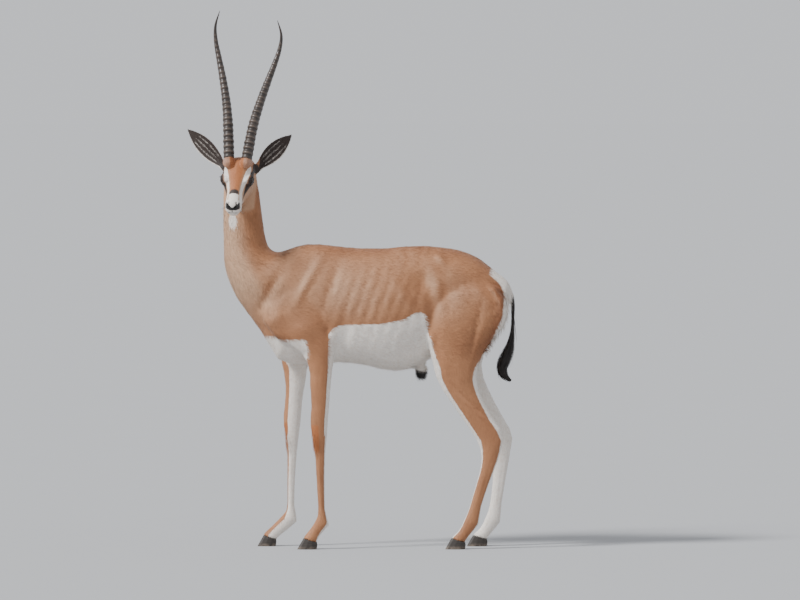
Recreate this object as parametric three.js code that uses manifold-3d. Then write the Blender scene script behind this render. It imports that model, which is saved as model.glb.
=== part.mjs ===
// A life-size standing male gazelle with long ringed horns, looking over its left side.
// Millimetres, +Z up. The animal heads towards -X, so its left flank faces -Y.
import * as THREE from "three";
import { mergeVertices } from "three/addons/utils/BufferGeometryUtils.js";
import Module from "manifold-3d";

const wasm = await Module();
wasm.setup();

const vec = (x, y, z) => new THREE.Vector3(x, y, z);

// Driving dimensions
const GAP = 0.3; // between two nodes that touch
const LEFT = -1; // the side of the body that faces -Y
const RIGHT = 1;

// The trunk from the top of the neck to the root of the tail, one row for each section:
// belly edge x and z, back edge x and z, middle y, half width, level of the widest place
const TRUNK = [
  [-376, 1120, -288, 1150, 8, 40, 0.5],
  [-380, 1062, -272, 1072, 4, 47, 0.5],
  [-381, 985, -262, 993, 0, 50, 0.52],
  [-380, 905, -251, 926, 0, 55, 0.54],
  [-377, 845, -238, 900, 0, 61, 0.52],
  [-352, 771, -216, 889, 0, 70, 0.5],
  [-316, 714, -188, 897, 0, 78, 0.48],
  [-262, 641, -150, 909, 0, 84, 0.48],
  [-212, 562, -122, 913, 0, 88, 0.5],
  [-130, 550, -80, 911, 0, 93, 0.52],
  [-40, 556, -12, 903, 0, 102, 0.5],
  [40, 549, 52, 899, 0, 112, 0.46],
  [125, 531, 120, 901, 0, 117, 0.43],
  [201, 543, 200, 908, 0, 106, 0.46],
  [256, 580, 268, 903, 0, 94, 0.54],
  [316, 620, 330, 893, 0, 88, 0.58],
  [378, 650, 388, 869, 0, 79, 0.58],
  [430, 684, 436, 832, 0, 64, 0.55],
  [466, 724, 468, 808, 0, 42, 0.52],
  [477, 745, 478, 795, 0, 24, 0.5],
];
const TRUNK_SIDES = 28;
const TRUNK_STEPS = 36;

// The legs from shoulder or hip down to the coronet:
// front edge x and z, rear edge x and z, distance from the midplane, half width, widest level
const SHOULDER = [
  [-168, 852, -84, 864, 46, 13, 0.5],
  [-215, 795, -62, 805, 58, 25, 0.5],
  [-268, 712, -54, 722, 64, 33, 0.5],
];
const FORELEG_LEFT = [
  ...SHOULDER,
  [-232, 640, -42, 660, 68, 37, 0.5],
  [-152, 590, -38, 610, 71, 35, 0.55],
  [-124, 545, -48, 558, 73, 30, 0.5],
  [-120, 482, -55, 500, 74, 26, 0.5],
  [-116, 430, -60, 440, 74, 22, 0.5],
  [-119, 388, -65, 384, 73, 21, 0.5],
  [-115, 345, -68, 338, 72, 18, 0.5],
  [-105, 290, -73, 288, 71, 13, 0.5],
  [-100, 200, -75, 200, 70, 11.5, 0.5],
  [-95, 118, -74, 112, 69, 13, 0.5],
  [-101, 90, -62, 74, 68, 16, 0.5],
  [-117, 63, -86, 47, 68, 13.5, 0.5],
  [-138, 37, -98, 25, 68, 18, 0.5],
  [-146, 22, -98, 12, 68, 18, 0.5],
];
const FORELEG_RIGHT = [
  ...SHOULDER,
  [-268, 642, -60, 660, 68, 37, 0.5],
  [-224, 592, -88, 612, 71, 35, 0.55],
  [-206, 545, -122, 555, 73, 30, 0.5],
  [-196, 482, -134, 492, 74, 26, 0.5],
  [-198, 430, -143, 440, 74, 22, 0.5],
  [-202, 380, -148, 381, 73, 21, 0.5],
  [-196, 336, -154, 336, 72, 18, 0.5],
  [-190, 285, -160, 285, 71, 13, 0.5],
  [-190, 200, -166, 200, 70, 11.5, 0.5],
  [-190, 120, -168, 114, 69, 13, 0.5],
  [-201, 97, -160, 76, 68, 16, 0.5],
  [-228, 68, -200, 42, 68, 13.5, 0.5],
  [-258, 40, -222, 22, 68, 18, 0.5],
  [-268, 26, -226, 8, 68, 18, 0.5],
];
const THIGH = [
  [276, 800, 380, 818, 52, 20, 0.5],
  [240, 752, 428, 790, 62, 34, 0.5],
  [224, 700, 458, 738, 67, 42, 0.5],
  [226, 640, 450, 672, 69, 44, 0.5],
];
const HINDLEG_LEFT = [
  ...THIGH,
  [243, 566, 404, 596, 70, 37, 0.5],
  [264, 497, 381, 528, 70, 29, 0.5],
  [308, 430, 390, 468, 69, 23, 0.5],
  [356, 362, 424, 402, 68, 19, 0.5],
  [386, 312, 460, 345, 67, 18, 0.5],
  [393, 272, 452, 294, 67, 15, 0.5],
  [388, 232, 433, 238, 66, 13, 0.5],
  [373, 180, 412, 184, 66, 12.5, 0.5],
  [356, 120, 391, 118, 65, 14, 0.5],
  [342, 88, 386, 76, 65, 16.5, 0.5],
  [328, 58, 362, 46, 65, 14, 0.5],
  [306, 36, 346, 25, 65, 18, 0.5],
  [297, 22, 346, 12, 65, 18, 0.5],
];
const HINDLEG_RIGHT = [
  ...THIGH,
  [254, 566, 410, 598, 70, 37, 0.5],
  [286, 500, 398, 534, 70, 29, 0.5],
  [336, 438, 420, 468, 69, 23, 0.5],
  [388, 376, 454, 402, 68, 19, 0.5],
  [418, 320, 488, 340, 67, 18, 0.5],
  [428, 278, 484, 290, 67, 15, 0.5],
  [430, 230, 474, 232, 66, 13, 0.5],
  [427, 178, 465, 180, 66, 12.5, 0.5],
  [419, 118, 455, 118, 65, 14, 0.5],
  [408, 88, 452, 74, 65, 16.5, 0.5],
  [394, 58, 430, 46, 65, 14, 0.5],
  [372, 36, 414, 25, 65, 18, 0.5],
  [363, 22, 412, 12, 65, 18, 0.5],
];
const LEGS = {
  foreleg_left: FORELEG_LEFT,
  foreleg_right: FORELEG_RIGHT,
  hindleg_left: HINDLEG_LEFT,
  hindleg_right: HINDLEG_RIGHT,
};
const LEG_SIDES = 12;
const LEG_STEPS = 27;

// Each foot stands on two claws; the coronet is the sloping edge where the hair ends
const CORONET_FRONT_Z = 33;
const CORONET_HEEL_Z = 20;
const CLAW_HALF_WIDTH = 9;
const CLAW_NARROW = 0.95; // of that width, at the coronet and at the sole
const CLAW_MIDDLE = [-10.5, 15, 1, 9]; // toe x and z, heel x and z halfway down, from the coronet
const CLEFT = 1.6; // between the two claws of a foot
const TOE_REACH = 19; // from the coronet forward to the tip of the sole
const FEET = {
  foreleg_left: { front: -139, heel: -98, y: 68, side: LEFT },
  foreleg_right: { front: -261, heel: -223, y: 68, side: RIGHT },
  hindleg_left: { front: 304, heel: 346, y: 65, side: LEFT },
  hindleg_right: { front: 370, heel: 413, y: 65, side: RIGHT },
};
const DEWCLAW = vec(5, 4, 8); // half sizes
const DEWCLAW_SLANT = 0.5; // radians
const DEWCLAW_APART = 9; // from the middle of the leg

// The head: joint with the neck, and how it is held
const HEAD_JOINT = vec(-322, 25, 1167);
const HEAD_PITCH = 38; // degrees, nose down
const HEAD_YAW = 7; // towards the front of the body
const HEAD_ROLL = 2.5;
// Distance forward of the joint, top, bottom, half width, level of the widest place
const SKULL = [
  [-8, -6, -36, 20, 0.5],
  [2, 7, -50, 35, 0.52],
  [24, 26, -62, 43, 0.55],
  [52, 48, -70, 45, 0.56],
  [80, 62, -72, 46, 0.58],
  [104, 55, -70, 46, 0.6],
  [124, 43, -66, 41, 0.6],
  [144, 31, -59, 33, 0.56],
  [164, 23, -52, 27.5, 0.5],
  [184, 17, -47, 25, 0.5],
  [203, 13, -44, 24.5, 0.5],
  [216, 9, -40, 22.5, 0.5],
  [224, 4, -33, 17, 0.5],
  [228, -3, -22, 9, 0.5],
];
const SKULL_SIDES = 26;
const SKULL_STEPS = 25;
const CORE_STEPS = 12; // of the core that stops the mouth's slit
const EYE_RADIUS = 15.5;
const EYE_PLACE = vec(34.5, -119, 14); // from the joint, left eye
const EYE_LOOK = vec(1, -0.5, 0.05);
const LID_THICKNESS = 2.4;
const LID_STRETCH = 1.15; // longer than high
const LID_OPENING = vec(11, 15.5, 9); // half height, half length, half depth
const LID_TILT = 14; // degrees, front corner down
const MOUTH_LEVEL = -24; // of the slit between the lips, from the joint
const MOUTH_LENGTH = 58;
const MOUTH_SLIT = 1.6;
const MOUTH_SAG = 3; // of its middle
const MOUTH_DROP = 10; // of its corner
const MOUTH_REACH = 40; // the cutter passes this far to each side
const MOUTH_DEPTH = 4.5;
const NOSTRIL_PLACE = vec(11, -224, -3);
const NOSTRIL = vec(7.5, 5, 3.2); // half sizes
const NOSTRIL_SLANT = 0.5; // radians

// Swellings on the skull, left side: place and half sizes
const CHEEK = { place: vec(27, -88, -32), size: vec(17, 40, 28) };
const BROW = { place: vec(28, -112, 25), size: vec(14, 30, 9) };
const UPPER_LIP = { place: vec(10, -214, -16), size: vec(12, 13, 9) };
const HORN_COLLAR = { place: vec(26, -84, 54), size: vec(20, 25, 13) };
const CHIN = { place: vec(0, -203, -38), size: vec(17, 18, 10) };

// Horns: outward from the midline, back and up from their base
const HORN_CURVE = [
  [24, 0, -14],
  [26, 0, 0],
  [37, 26, 100],
  [50, 54, 170],
  [68, 80, 240],
  [84, 97, 295],
  [97, 106, 345],
  [100, 107, 389],
  [87, 98, 435],
];
const HORN_RISE = { left: 0.98, right: 1.03 }; // factors on the height of each horn
const HORN_BASE = vec(0, -84, 60); // from the joint, on the midline
const HORN_HALF_WIDTH = 15.5;
const HORN_HALF_DEPTH = 20;
const HORN_RINGS = 25;
const HORN_RINGED = 0.86; // share of the length that carries rings
const HORN_RIDGE = 2.2;
const HORN_RIDGE_BACK = 0.45; // share of a ridge's height that is left on the rear face
const HORN_RIDGE_TIP = 0.35; // and where the horn has tapered away
const HORN_SIDES = 9;
const HORN_TIP_STEPS = 7;
const HORN_TAPER = 1.6; // the half widths shrink as (1 - place ** taper) ** point
const HORN_POINT = 0.75;
const HORN_END = 0.995; // of the curve; the tip is blunt there
const HORN_CUT = 0.045; // place of the cut between horn and head

// Ears: base of the left ear from the joint, and reach of each tip from its base; the left
// ear is turned a little further back
const EAR_BASE = vec(42, -47, -6);
const EAR_REACH = { left: vec(99, 58, 111), right: vec(-128, 32, 114) };
const EAR_HALF_WIDTH = 28;
const EAR_ROOT_WIDTH = 0.5; // share of the full width
const EAR_TIP_WIDTH = 0.06;
const EAR_LEAF = [1.1, 0.85]; // powers that place and blunt the widest part of the leaf
const EAR_DEPTH = 15;
const EAR_FLATTER = 0.78; // share of the depth that is lost at the tip
const EAR_HOLLOW_FROM = [0.02, 0.25]; // places where the cup starts and is full
const EAR_WALL = 3.2;
const EAR_RIM = 0.92; // width of the cup as a share of the ear's
const EAR_ROOT = 22; // sunk in the head
const EAR_CUT = 53; // from the midline of the head to where the ear's own node starts
const EAR_OPENING = vec(0.3, -1, -0.1); // where the cup of the left ear looks
const EAR_STEPS = 11;
const EAR_ARC = 7;

// Tail: inner edge x and z, outer edge x and z, middle y, half width, widest level
const TAIL = [
  [428, 800, 446, 822, 0, 20, 0.5],
  [450, 782, 472, 806, 0, 19, 0.5],
  [468, 758, 488, 780, 0, 15, 0.5],
  [480, 733, 494, 742, 0, 10, 0.5],
  [484, 700, 494, 702, 0, 8, 0.5],
  [481, 650, 492, 651, 0, 11, 0.5],
  [471, 602, 488, 607, 0, 15, 0.5],
  [453, 562, 476, 572, 0, 17, 0.5],
  [444, 532, 467, 546, 0, 15, 0.5],
  [455, 508, 471, 524, 0, 9, 0.5],
  [482, 496, 486, 504, 0, 3, 0.5],
];
const TAIL_SIDES = 10;
const DOCK_END = 0.62; // the fleshy part ends here, as a share of the length
const DOCK_SLIM = 0.55; // share of its width that the hair takes at that end
const DOCK_STEPS = 14;
// Locks of the tassel: tiers down the tail, each a ring of flat tapered locks
const LOCK_TIERS = [0.36, 0.47, 0.58];
const LOCKS_A_TIER = 4;
const LOCK_REACH = 0.42; // of the tail's length
const LOCK_HALF_WIDTH = 9;
const LOCK_HALF_THICKNESS = 3;
const LOCK_SIDES = 5;
const LOCK_STEPS = 4;
const LOCK_RAISED = [0.15, 0.7]; // off the dock's axis at its root, and the swell along it
const LOCK_TAPER = 0.9;

// The sheath under the belly, in the same columns as a leg
const SHEATH = [
  [188, 556, 228, 562, 0, 14, 0.5],
  [192, 538, 226, 538, 0, 12, 0.5],
  [197, 520, 221, 517, 0, 8, 0.5],
  [203, 509, 214, 507, 0, 4, 0.5],
];

// Planes of the cuts, each through a point with a normal
const NECK_CUT = { x: -205, z: 893, towards: vec(-0.727, 0, 0.686) };
const HEAD_CUT = { y: 0, z: 1098, towards: vec(0, -0.707, 0.707) };

const COLOURS = {
  coat: 0xb9835a,
  neck: 0xc79a72,
  leg: 0xb98a66,
  eye: 0x140d0a,
  horn: 0x2b211d,
  hoof: 0x1b1716,
  ear: 0x6c5c50,
  tail: 0x17120f,
  sheath: 0x3a2c25,
};

const radians = THREE.MathUtils.degToRad;
const clamp = THREE.MathUtils.clamp;
const smoothstep = THREE.MathUtils.smoothstep;
const AXIS_X = vec(1, 0, 0);
const AXIS_Y = vec(0, 1, 0);
const AXIS_Z = vec(0, 0, 1);

// Solids from three.js geometry and from rings of points

function solidOf(geometry) {
  const bare = geometry.clone();
  bare.deleteAttribute("normal");
  bare.deleteAttribute("uv");
  const merged = mergeVertices(bare, 1e-4);
  return new wasm.Manifold(
    new wasm.Mesh({
      numProp: 3,
      vertProperties: new Float32Array(merged.attributes.position.array),
      triVerts: new Uint32Array(merged.index.array),
    }),
  );
}

function middleOf(ring) {
  return ring.reduce((sum, p) => sum.add(p), vec(0, 0, 0)).divideScalar(ring.length);
}

// A closed skin over rings of equally many points, with a fan over each end
function solidOfRings(rings) {
  const sides = rings[0].length;
  const points = rings.flat();
  const first = points.push(middleOf(rings[0])) - 1;
  const last = points.push(middleOf(rings.at(-1))) - 1;
  const faces = [];
  for (let i = 0; i < sides; i++) {
    const next = (i + 1) % sides;
    faces.push([first, next, i]);
    faces.push([last, first - sides + i, first - sides + next]);
    for (let r = 0; r < rings.length - 1; r++) {
      const a = r * sides + i;
      const b = r * sides + next;
      faces.push([a, b, b + sides], [a, b + sides, a + sides]);
    }
  }
  const volume = faces.reduce((sum, [a, b, c]) => {
    return sum + points[a].dot(points[b].clone().cross(points[c]));
  }, 0);
  const outward = volume > 0 ? faces : faces.map(([a, b, c]) => [a, c, b]);
  const geometry = new THREE.BufferGeometry().setFromPoints(points);
  geometry.setIndex(outward.flat());
  return solidOf(geometry);
}

function joined(solids) {
  return wasm.Manifold.union(solids);
}

// Only the largest closed surface of a solid
function largest(solid) {
  return solid.decompose().reduce((a, b) => (b.volume() > a.volume() ? b : a));
}

// The part of a solid on the side that a plane's normal points to, half a gap clear of it
function beyond(solid, normal, point, clear = GAP / 2) {
  return solid.trimByPlane(normal.toArray(), normal.dot(point) + clear);
}

// Lofts

// Every column of a table at a place from 0 to 1, on a smooth curve through its rows
function along(rows, place) {
  const last = rows.length - 1;
  const whole = Math.min(Math.floor(place * last), last - 1);
  const f = place * last - whole;
  const row = (k) => rows[clamp(k, 0, last)];
  return rows[whole].map((b, column) => {
    const a = row(whole - 1)[column];
    const c = row(whole + 1)[column];
    const d = row(whole + 2)[column];
    return b + 0.5 * f * (c - a + f * (2 * a - 5 * b + 4 * c - d + f * (3 * (b - c) + d - a)));
  });
}

// Two half ellipses between a low and a high edge that meet at the widest level;
// a fullness over 2 swells them towards a box
function section(low, high, across, halfWidth, level, sides, fullness) {
  const rise = high.clone().sub(low);
  const middle = low.clone().addScaledVector(rise, level);
  const swell = (v) => Math.sign(v) * Math.abs(v) ** (2 / fullness);
  return Array.from({ length: sides }, (_, i) => {
    const angle = (2 * Math.PI * i) / sides;
    const up = swell(Math.cos(angle)) * (Math.cos(angle) > 0 ? 1 - level : level);
    const out = swell(Math.sin(angle)) * halfWidth;
    return middle.clone().addScaledVector(rise, up).addScaledVector(across, out);
  });
}

// A table of low and high edges as a closed body, grown on all sides by a margin
function loft(rows, options) {
  const { sides, steps, side = 1, grow = 0, fullness = 2.1 } = options;
  const { across = AXIS_Y, place = inBody } = options;
  const rings = Array.from({ length: steps + 1 }, (_, k) => {
    const { low, high, halfWidth, level } = place(along(rows, k / steps), side);
    const margin = high.clone().sub(low).setLength(grow);
    low.sub(margin);
    high.add(margin);
    return section(low, high, across, halfWidth + grow, level, sides, fullness);
  });
  if (grow) {
    for (const [end, inner] of [[rings[0], rings[1]], [rings.at(-1), rings.at(-2)]]) {
      const push = middleOf(end).sub(middleOf(inner)).setLength(grow);
      end.forEach((p) => p.add(push));
    }
  }
  return solidOfRings(rings);
}

// Rows of body tables: edges lie in a plane parallel to the midplane
function inBody([lowX, lowZ, highX, highZ, y, halfWidth, level], side) {
  return {
    low: vec(lowX, y * side, lowZ),
    high: vec(highX, y * side, highZ),
    halfWidth,
    level,
  };
}

// Rows of the skull table: forward of the joint along -Y, in the head's own frame
function inHead([forward, top, bottom, halfWidth, level]) {
  return {
    low: vec(0, -forward, bottom),
    high: vec(0, -forward, top),
    halfWidth,
    level,
  };
}

// An egg of three half sizes, turned in place
function egg(centre, halfSizes, turn = new THREE.Quaternion(), around = 10, down = 7) {
  const geometry = new THREE.SphereGeometry(1, around, down);
  geometry.applyMatrix4(new THREE.Matrix4().compose(centre, turn, halfSizes));
  return solidOf(geometry);
}

function turned(x, y, z) {
  return new THREE.Quaternion().setFromEuler(new THREE.Euler(x, y, z));
}

function mirrored(vector, side) {
  return vec(vector.x * side, vector.y, vector.z);
}

// The head's frame, and the same turned and rolled but not pitched, for horns and ears
const headFrame = new THREE.Matrix4()
  .makeRotationFromEuler(
    new THREE.Euler(radians(HEAD_PITCH), radians(HEAD_ROLL), -radians(HEAD_YAW), "ZYX"),
  )
  .setPosition(HEAD_JOINT);
const uprightTurn = new THREE.Euler(0, radians(HEAD_ROLL), -radians(HEAD_YAW), "ZYX");

function inWorld(vector) {
  return vector.clone().applyMatrix4(headFrame);
}

// Horns

function hornCurve(side) {
  const base = inWorld(HORN_BASE);
  const rise = side > 0 ? HORN_RISE.left : HORN_RISE.right;
  const points = HORN_CURVE.map(([out, back, up]) => {
    return vec(out * side, back, up * rise).applyEuler(uprightTurn).add(base);
  });
  return new THREE.CatmullRomCurve3(points);
}

function hornSolid(side, grow = 0) {
  const curve = hornCurve(side);
  const stations = [];
  for (let k = 0; k <= 2 * HORN_RINGS; k++) {
    stations.push({ at: (HORN_RINGED * k) / (2 * HORN_RINGS), ridge: k % 2 });
  }
  for (let k = 1; k <= HORN_TIP_STEPS; k++) {
    stations.push({ at: HORN_RINGED + ((HORN_END - HORN_RINGED) * k) / HORN_TIP_STEPS, ridge: 0 });
  }
  const rings = stations.map(({ at, ridge }) => {
    const centre = curve.getPointAt(at);
    const tangent = curve.getTangentAt(at);
    const outward = AXIS_X.clone().addScaledVector(tangent, -tangent.x).normalize();
    const backward = tangent.clone().cross(outward);
    const taper = (1 - at ** HORN_TAPER) ** HORN_POINT;
    const raised = ridge * HORN_RIDGE * (HORN_RIDGE_TIP + (1 - HORN_RIDGE_TIP) * taper);
    return Array.from({ length: HORN_SIDES }, (_, i) => {
      const angle = (2 * Math.PI * i) / HORN_SIDES;
      const frontness = 0.5 - 0.5 * Math.sin(angle) * Math.sign(backward.y);
      const rise = raised * (HORN_RIDGE_BACK + (1 - HORN_RIDGE_BACK) * frontness);
      return centre
        .clone()
        .addScaledVector(outward, Math.cos(angle) * (HORN_HALF_WIDTH * taper + rise + grow))
        .addScaledVector(backward, Math.sin(angle) * (HORN_HALF_DEPTH * taper + rise + grow));
    });
  });
  return solidOfRings(rings);
}

// Ears

function earSolid(side) {
  const base = inWorld(mirrored(EAR_BASE, side));
  const reach = (side > 0 ? EAR_REACH.left : EAR_REACH.right).clone().applyEuler(uprightTurn);
  const axis = reach.clone().normalize();
  const opening = mirrored(EAR_OPENING, side).applyEuler(uprightTurn);
  opening.addScaledVector(axis, -opening.dot(axis)).normalize();
  const across = axis.clone().cross(opening);
  const rings = Array.from({ length: EAR_STEPS + 1 }, (_, k) => {
    const distance = -EAR_ROOT + ((reach.length() + EAR_ROOT) * k) / EAR_STEPS;
    const share = clamp(distance / reach.length(), 0, 1);
    const leaf = Math.sin(Math.PI * share ** EAR_LEAF[0]) ** EAR_LEAF[1];
    const width = EAR_HALF_WIDTH * Math.max(leaf, EAR_ROOT_WIDTH * (1 - share), EAR_TIP_WIDTH);
    const depth = EAR_DEPTH * (1 - EAR_FLATTER * share);
    const hollow = (depth - EAR_WALL) * smoothstep(share, ...EAR_HOLLOW_FROM);
    const centre = base.clone().addScaledVector(axis, distance);
    const at = (angle, w, d) =>
      centre
        .clone()
        .addScaledVector(across, w * Math.cos(angle))
        .addScaledVector(opening, -d * Math.sin(angle));
    const arc = Array.from({ length: EAR_ARC + 1 }, (_, i) => (Math.PI * i) / EAR_ARC);
    const back = arc.map((angle) => at(angle, width, depth));
    const cup = arc.slice(1, -1).reverse();
    return [...back, ...cup.map((angle) => at(angle, width * EAR_RIM, Math.max(hollow, 0)))];
  });
  return {
    solid: solidOfRings(rings),
    axis: AXIS_X.clone().multiplyScalar(side).applyEuler(uprightTurn),
    cut: inWorld(vec(EAR_CUT * side, EAR_BASE.y, EAR_BASE.z)),
  };
}

// Head

function eyeSolid(side, grow = 0) {
  const radius = EYE_RADIUS + grow;
  return egg(mirrored(EYE_PLACE, side), vec(radius, radius, radius), undefined, 12, 8);
}

// The swelling that the lids cover, and the almond between them that shows the eye
function lids(side) {
  const radius = EYE_RADIUS + LID_THICKNESS;
  return egg(mirrored(EYE_PLACE, side), vec(radius, radius * LID_STRETCH, radius), undefined, 14, 10);
}

function lidOpening(side) {
  const look = mirrored(EYE_LOOK, side).normalize();
  const turn = new THREE.Quaternion()
    .setFromUnitVectors(AXIS_Z, look)
    .multiply(new THREE.Quaternion().setFromAxisAngle(AXIS_Z, radians(LID_TILT) * side));
  return egg(mirrored(EYE_PLACE, side).addScaledVector(look, EYE_RADIUS), LID_OPENING, turn, 14, 7);
}

// The slit between the lips: a thin wedge across the muzzle, less the core of the skull
function mouthSlit(core) {
  const front = SKULL.at(-1)[0] + 10;
  const back = front - 10 - MOUTH_LENGTH;
  const outline = new THREE.Shape();
  const centre = (front + back) / 2;
  const sag = MOUTH_LEVEL - MOUTH_SAG;
  outline.moveTo(front, MOUTH_LEVEL + MOUTH_SLIT / 2);
  outline.quadraticCurveTo(centre, sag, back, MOUTH_LEVEL - MOUTH_DROP);
  outline.quadraticCurveTo(centre, sag - MOUTH_SLIT, front, MOUTH_LEVEL - MOUTH_SLIT / 2);
  const slit = new THREE.ExtrudeGeometry(outline, {
    depth: 2 * MOUTH_REACH,
    bevelEnabled: false,
    curveSegments: 5,
  });
  slit.translate(0, 0, -MOUTH_REACH);
  const forward = AXIS_Y.clone().negate();
  slit.applyMatrix4(new THREE.Matrix4().makeBasis(forward, AXIS_Z, AXIS_X.clone().negate()));
  return solidOf(slit).subtract(core);
}

function headSolid(neckTop, ears, horns) {
  const options = { sides: SKULL_SIDES, across: AXIS_X, place: inHead };
  const skull = loft(SKULL, { ...options, steps: SKULL_STEPS });
  const core = loft(SKULL, { ...options, steps: CORE_STEPS, grow: -MOUTH_DEPTH });
  const added = [egg(CHIN.place, CHIN.size)];
  const taken = [mouthSlit(core)];
  for (const side of [1, -1]) {
    for (const { place, size, turn } of [CHEEK, BROW, UPPER_LIP, HORN_COLLAR]) {
      added.push(egg(mirrored(place, side), size, turn));
    }
    added.push(lids(side));
    taken.push(eyeSolid(side, GAP), lidOpening(side));
    taken.push(egg(mirrored(NOSTRIL_PLACE, side), NOSTRIL, turned(0, -NOSTRIL_SLANT * side, 0)));
  }
  const shaped = joined([skull, ...added]).subtract(joined(taken));
  const placed = shaped.transform(headFrame.elements);
  const rooted = [...ears, ...horns];
  const stubs = rooted.map(({ solid, axis, cut }) => beyond(solid, axis.clone().negate(), cut));
  const pockets = horns.map(({ grown, axis, cut }) => beyond(grown, axis, cut, -GAP / 2));
  return joined([placed, neckTop, ...stubs]).subtract(joined(pockets));
}

// Feet

function claw(foot, inner) {
  const y = foot.side * (foot.y + inner * (CLAW_HALF_WIDTH + CLEFT / 2));
  const { front, heel } = foot;
  const [toeX, toeZ, heelX, heelZ] = CLAW_MIDDLE;
  const rows = [
    [front, CORONET_FRONT_Z, heel, CORONET_HEEL_Z, y, CLAW_HALF_WIDTH * CLAW_NARROW, 0.55],
    [front + toeX, toeZ, heel + heelX, heelZ, y, CLAW_HALF_WIDTH, 0.55],
    [front - TOE_REACH, 0, heel - 2, 0, y, CLAW_HALF_WIDTH * CLAW_NARROW, 0.58],
  ];
  return loft(rows, { sides: 10, steps: 3, fullness: 1.8 });
}

function legSolid(name, foot) {
  const leg = loft(LEGS[name], { sides: LEG_SIDES, steps: LEG_STEPS, side: foot.side });
  const slope = vec(CORONET_FRONT_Z - CORONET_HEEL_Z, 0, foot.heel - foot.front).normalize();
  const coronet = vec(foot.front, 0, CORONET_FRONT_Z);
  const [, , heelX, heelZ] = LEGS[name].at(-4);
  const dewclaws = [-1, 1].map((inner) =>
    egg(
      vec(heelX - 2, foot.side * foot.y + inner * DEWCLAW_APART, heelZ - 8),
      DEWCLAW,
      turned(0, DEWCLAW_SLANT, 0),
      8,
      6,
    ),
  );
  return joined([beyond(leg, slope, coronet, GAP), ...dewclaws]);
}

// Tail

// A row of the tail's table slimmed to the dock under the hair
function dockRow(place) {
  const [lowX, lowZ, highX, highZ, y, halfWidth, level] = along(TAIL, place);
  const slim = 1 - DOCK_SLIM * smoothstep(place, LOCK_TIERS[0], DOCK_END);
  const middleX = (lowX + highX) / 2;
  const middleZ = (lowZ + highZ) / 2;
  const drawn = (value, middle) => middle + (value - middle) * slim;
  return [
    drawn(lowX, middleX),
    drawn(lowZ, middleZ),
    drawn(highX, middleX),
    drawn(highZ, middleZ),
    y,
    halfWidth * slim,
    level,
  ];
}

// One lock: it leaves the dock at a place and an angle round it, swells out to the
// tassel's outline and ends in a point
function lock(start, around) {
  const end = Math.min(start + LOCK_REACH, 1);
  const rings = Array.from({ length: LOCK_STEPS + 1 }, (_, k) => {
    const share = k / LOCK_STEPS;
    const [lowX, lowZ, highX, highZ, y, halfWidth] = along(TAIL, start + (end - start) * share);
    const centre = vec((lowX + highX) / 2, y, (lowZ + highZ) / 2);
    const depth = vec(highX - lowX, 0, highZ - lowZ).divideScalar(2);
    const width = vec(0, halfWidth, 0);
    const out = depth.clone().multiplyScalar(Math.cos(around)).addScaledVector(width, Math.sin(around));
    const flat = depth.clone().multiplyScalar(-Math.sin(around));
    flat.addScaledVector(width, Math.cos(around)).normalize();
    const thin = out.clone().normalize();
    centre.addScaledVector(out, LOCK_RAISED[0] + LOCK_RAISED[1] * Math.sin(share * Math.PI * 0.6));
    const taper = 1 - LOCK_TAPER * share ** 2;
    return Array.from({ length: LOCK_SIDES }, (_, i) => {
      const angle = (2 * Math.PI * i) / LOCK_SIDES;
      return centre
        .clone()
        .addScaledVector(flat, Math.cos(angle) * LOCK_HALF_WIDTH * taper)
        .addScaledVector(thin, Math.sin(angle) * LOCK_HALF_THICKNESS * taper);
    });
  });
  return solidOfRings(rings);
}

function dock(grow = 0) {
  const places = Array.from({ length: DOCK_STEPS + 1 }, (_, k) => (DOCK_END * k) / DOCK_STEPS);
  const rows = places.map(dockRow);
  return loft(rows, { sides: TAIL_SIDES, steps: DOCK_STEPS, grow });
}

function tailSolid() {
  const locks = LOCK_TIERS.flatMap((start, tier) =>
    Array.from({ length: LOCKS_A_TIER }, (_, i) =>
      lock(start, (2 * Math.PI * (i + tier / 2)) / LOCKS_A_TIER),
    ),
  );
  return largest(joined([dock(), ...locks]));
}

// The scene graph

function node(name, solid, colour, roughness) {
  const mesh = solid.getMesh();
  const geometry = new THREE.BufferGeometry();
  const corners = Float32Array.from(
    { length: mesh.numVert * 3 },
    (_, i) => mesh.vertProperties[Math.floor(i / 3) * mesh.numProp + (i % 3)],
  );
  geometry.setAttribute("position", new THREE.BufferAttribute(corners, 3));
  geometry.setIndex(new THREE.BufferAttribute(mesh.triVerts, 1));
  geometry.computeVertexNormals();
  const material = new THREE.MeshStandardMaterial({ color: colour, roughness, metalness: 0 });
  const made = new THREE.Mesh(geometry, material);
  made.name = name;
  return made;
}

const body = new THREE.Group();
const HIDE = 0.85;

const trunk = loft(TRUNK, { sides: TRUNK_SIDES, steps: TRUNK_STEPS });
const withers = vec(NECK_CUT.x, 0, NECK_CUT.z);
const nape = vec(0, HEAD_CUT.y, HEAD_CUT.z);
const neckAndNape = beyond(trunk, NECK_CUT.towards, withers);
const sheathOptions = { sides: 12, steps: 6 };

const pockets = Object.entries(FEET).map(([name, { side }]) =>
  loft(LEGS[name], { sides: LEG_SIDES, steps: LEG_STEPS, side, grow: GAP }),
);
pockets.push(dock(GAP));
pockets.push(loft(SHEATH, { ...sheathOptions, grow: GAP }));
const behindNeck = beyond(trunk, NECK_CUT.towards.clone().negate(), withers);
const torso = behindNeck.subtract(joined(pockets));
body.add(node("torso", largest(torso), COLOURS.coat, HIDE));
body.add(node("sheath", loft(SHEATH, sheathOptions), COLOURS.sheath, HIDE));
body.add(node("tail", tailSolid(), COLOURS.tail, HIDE));

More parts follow.
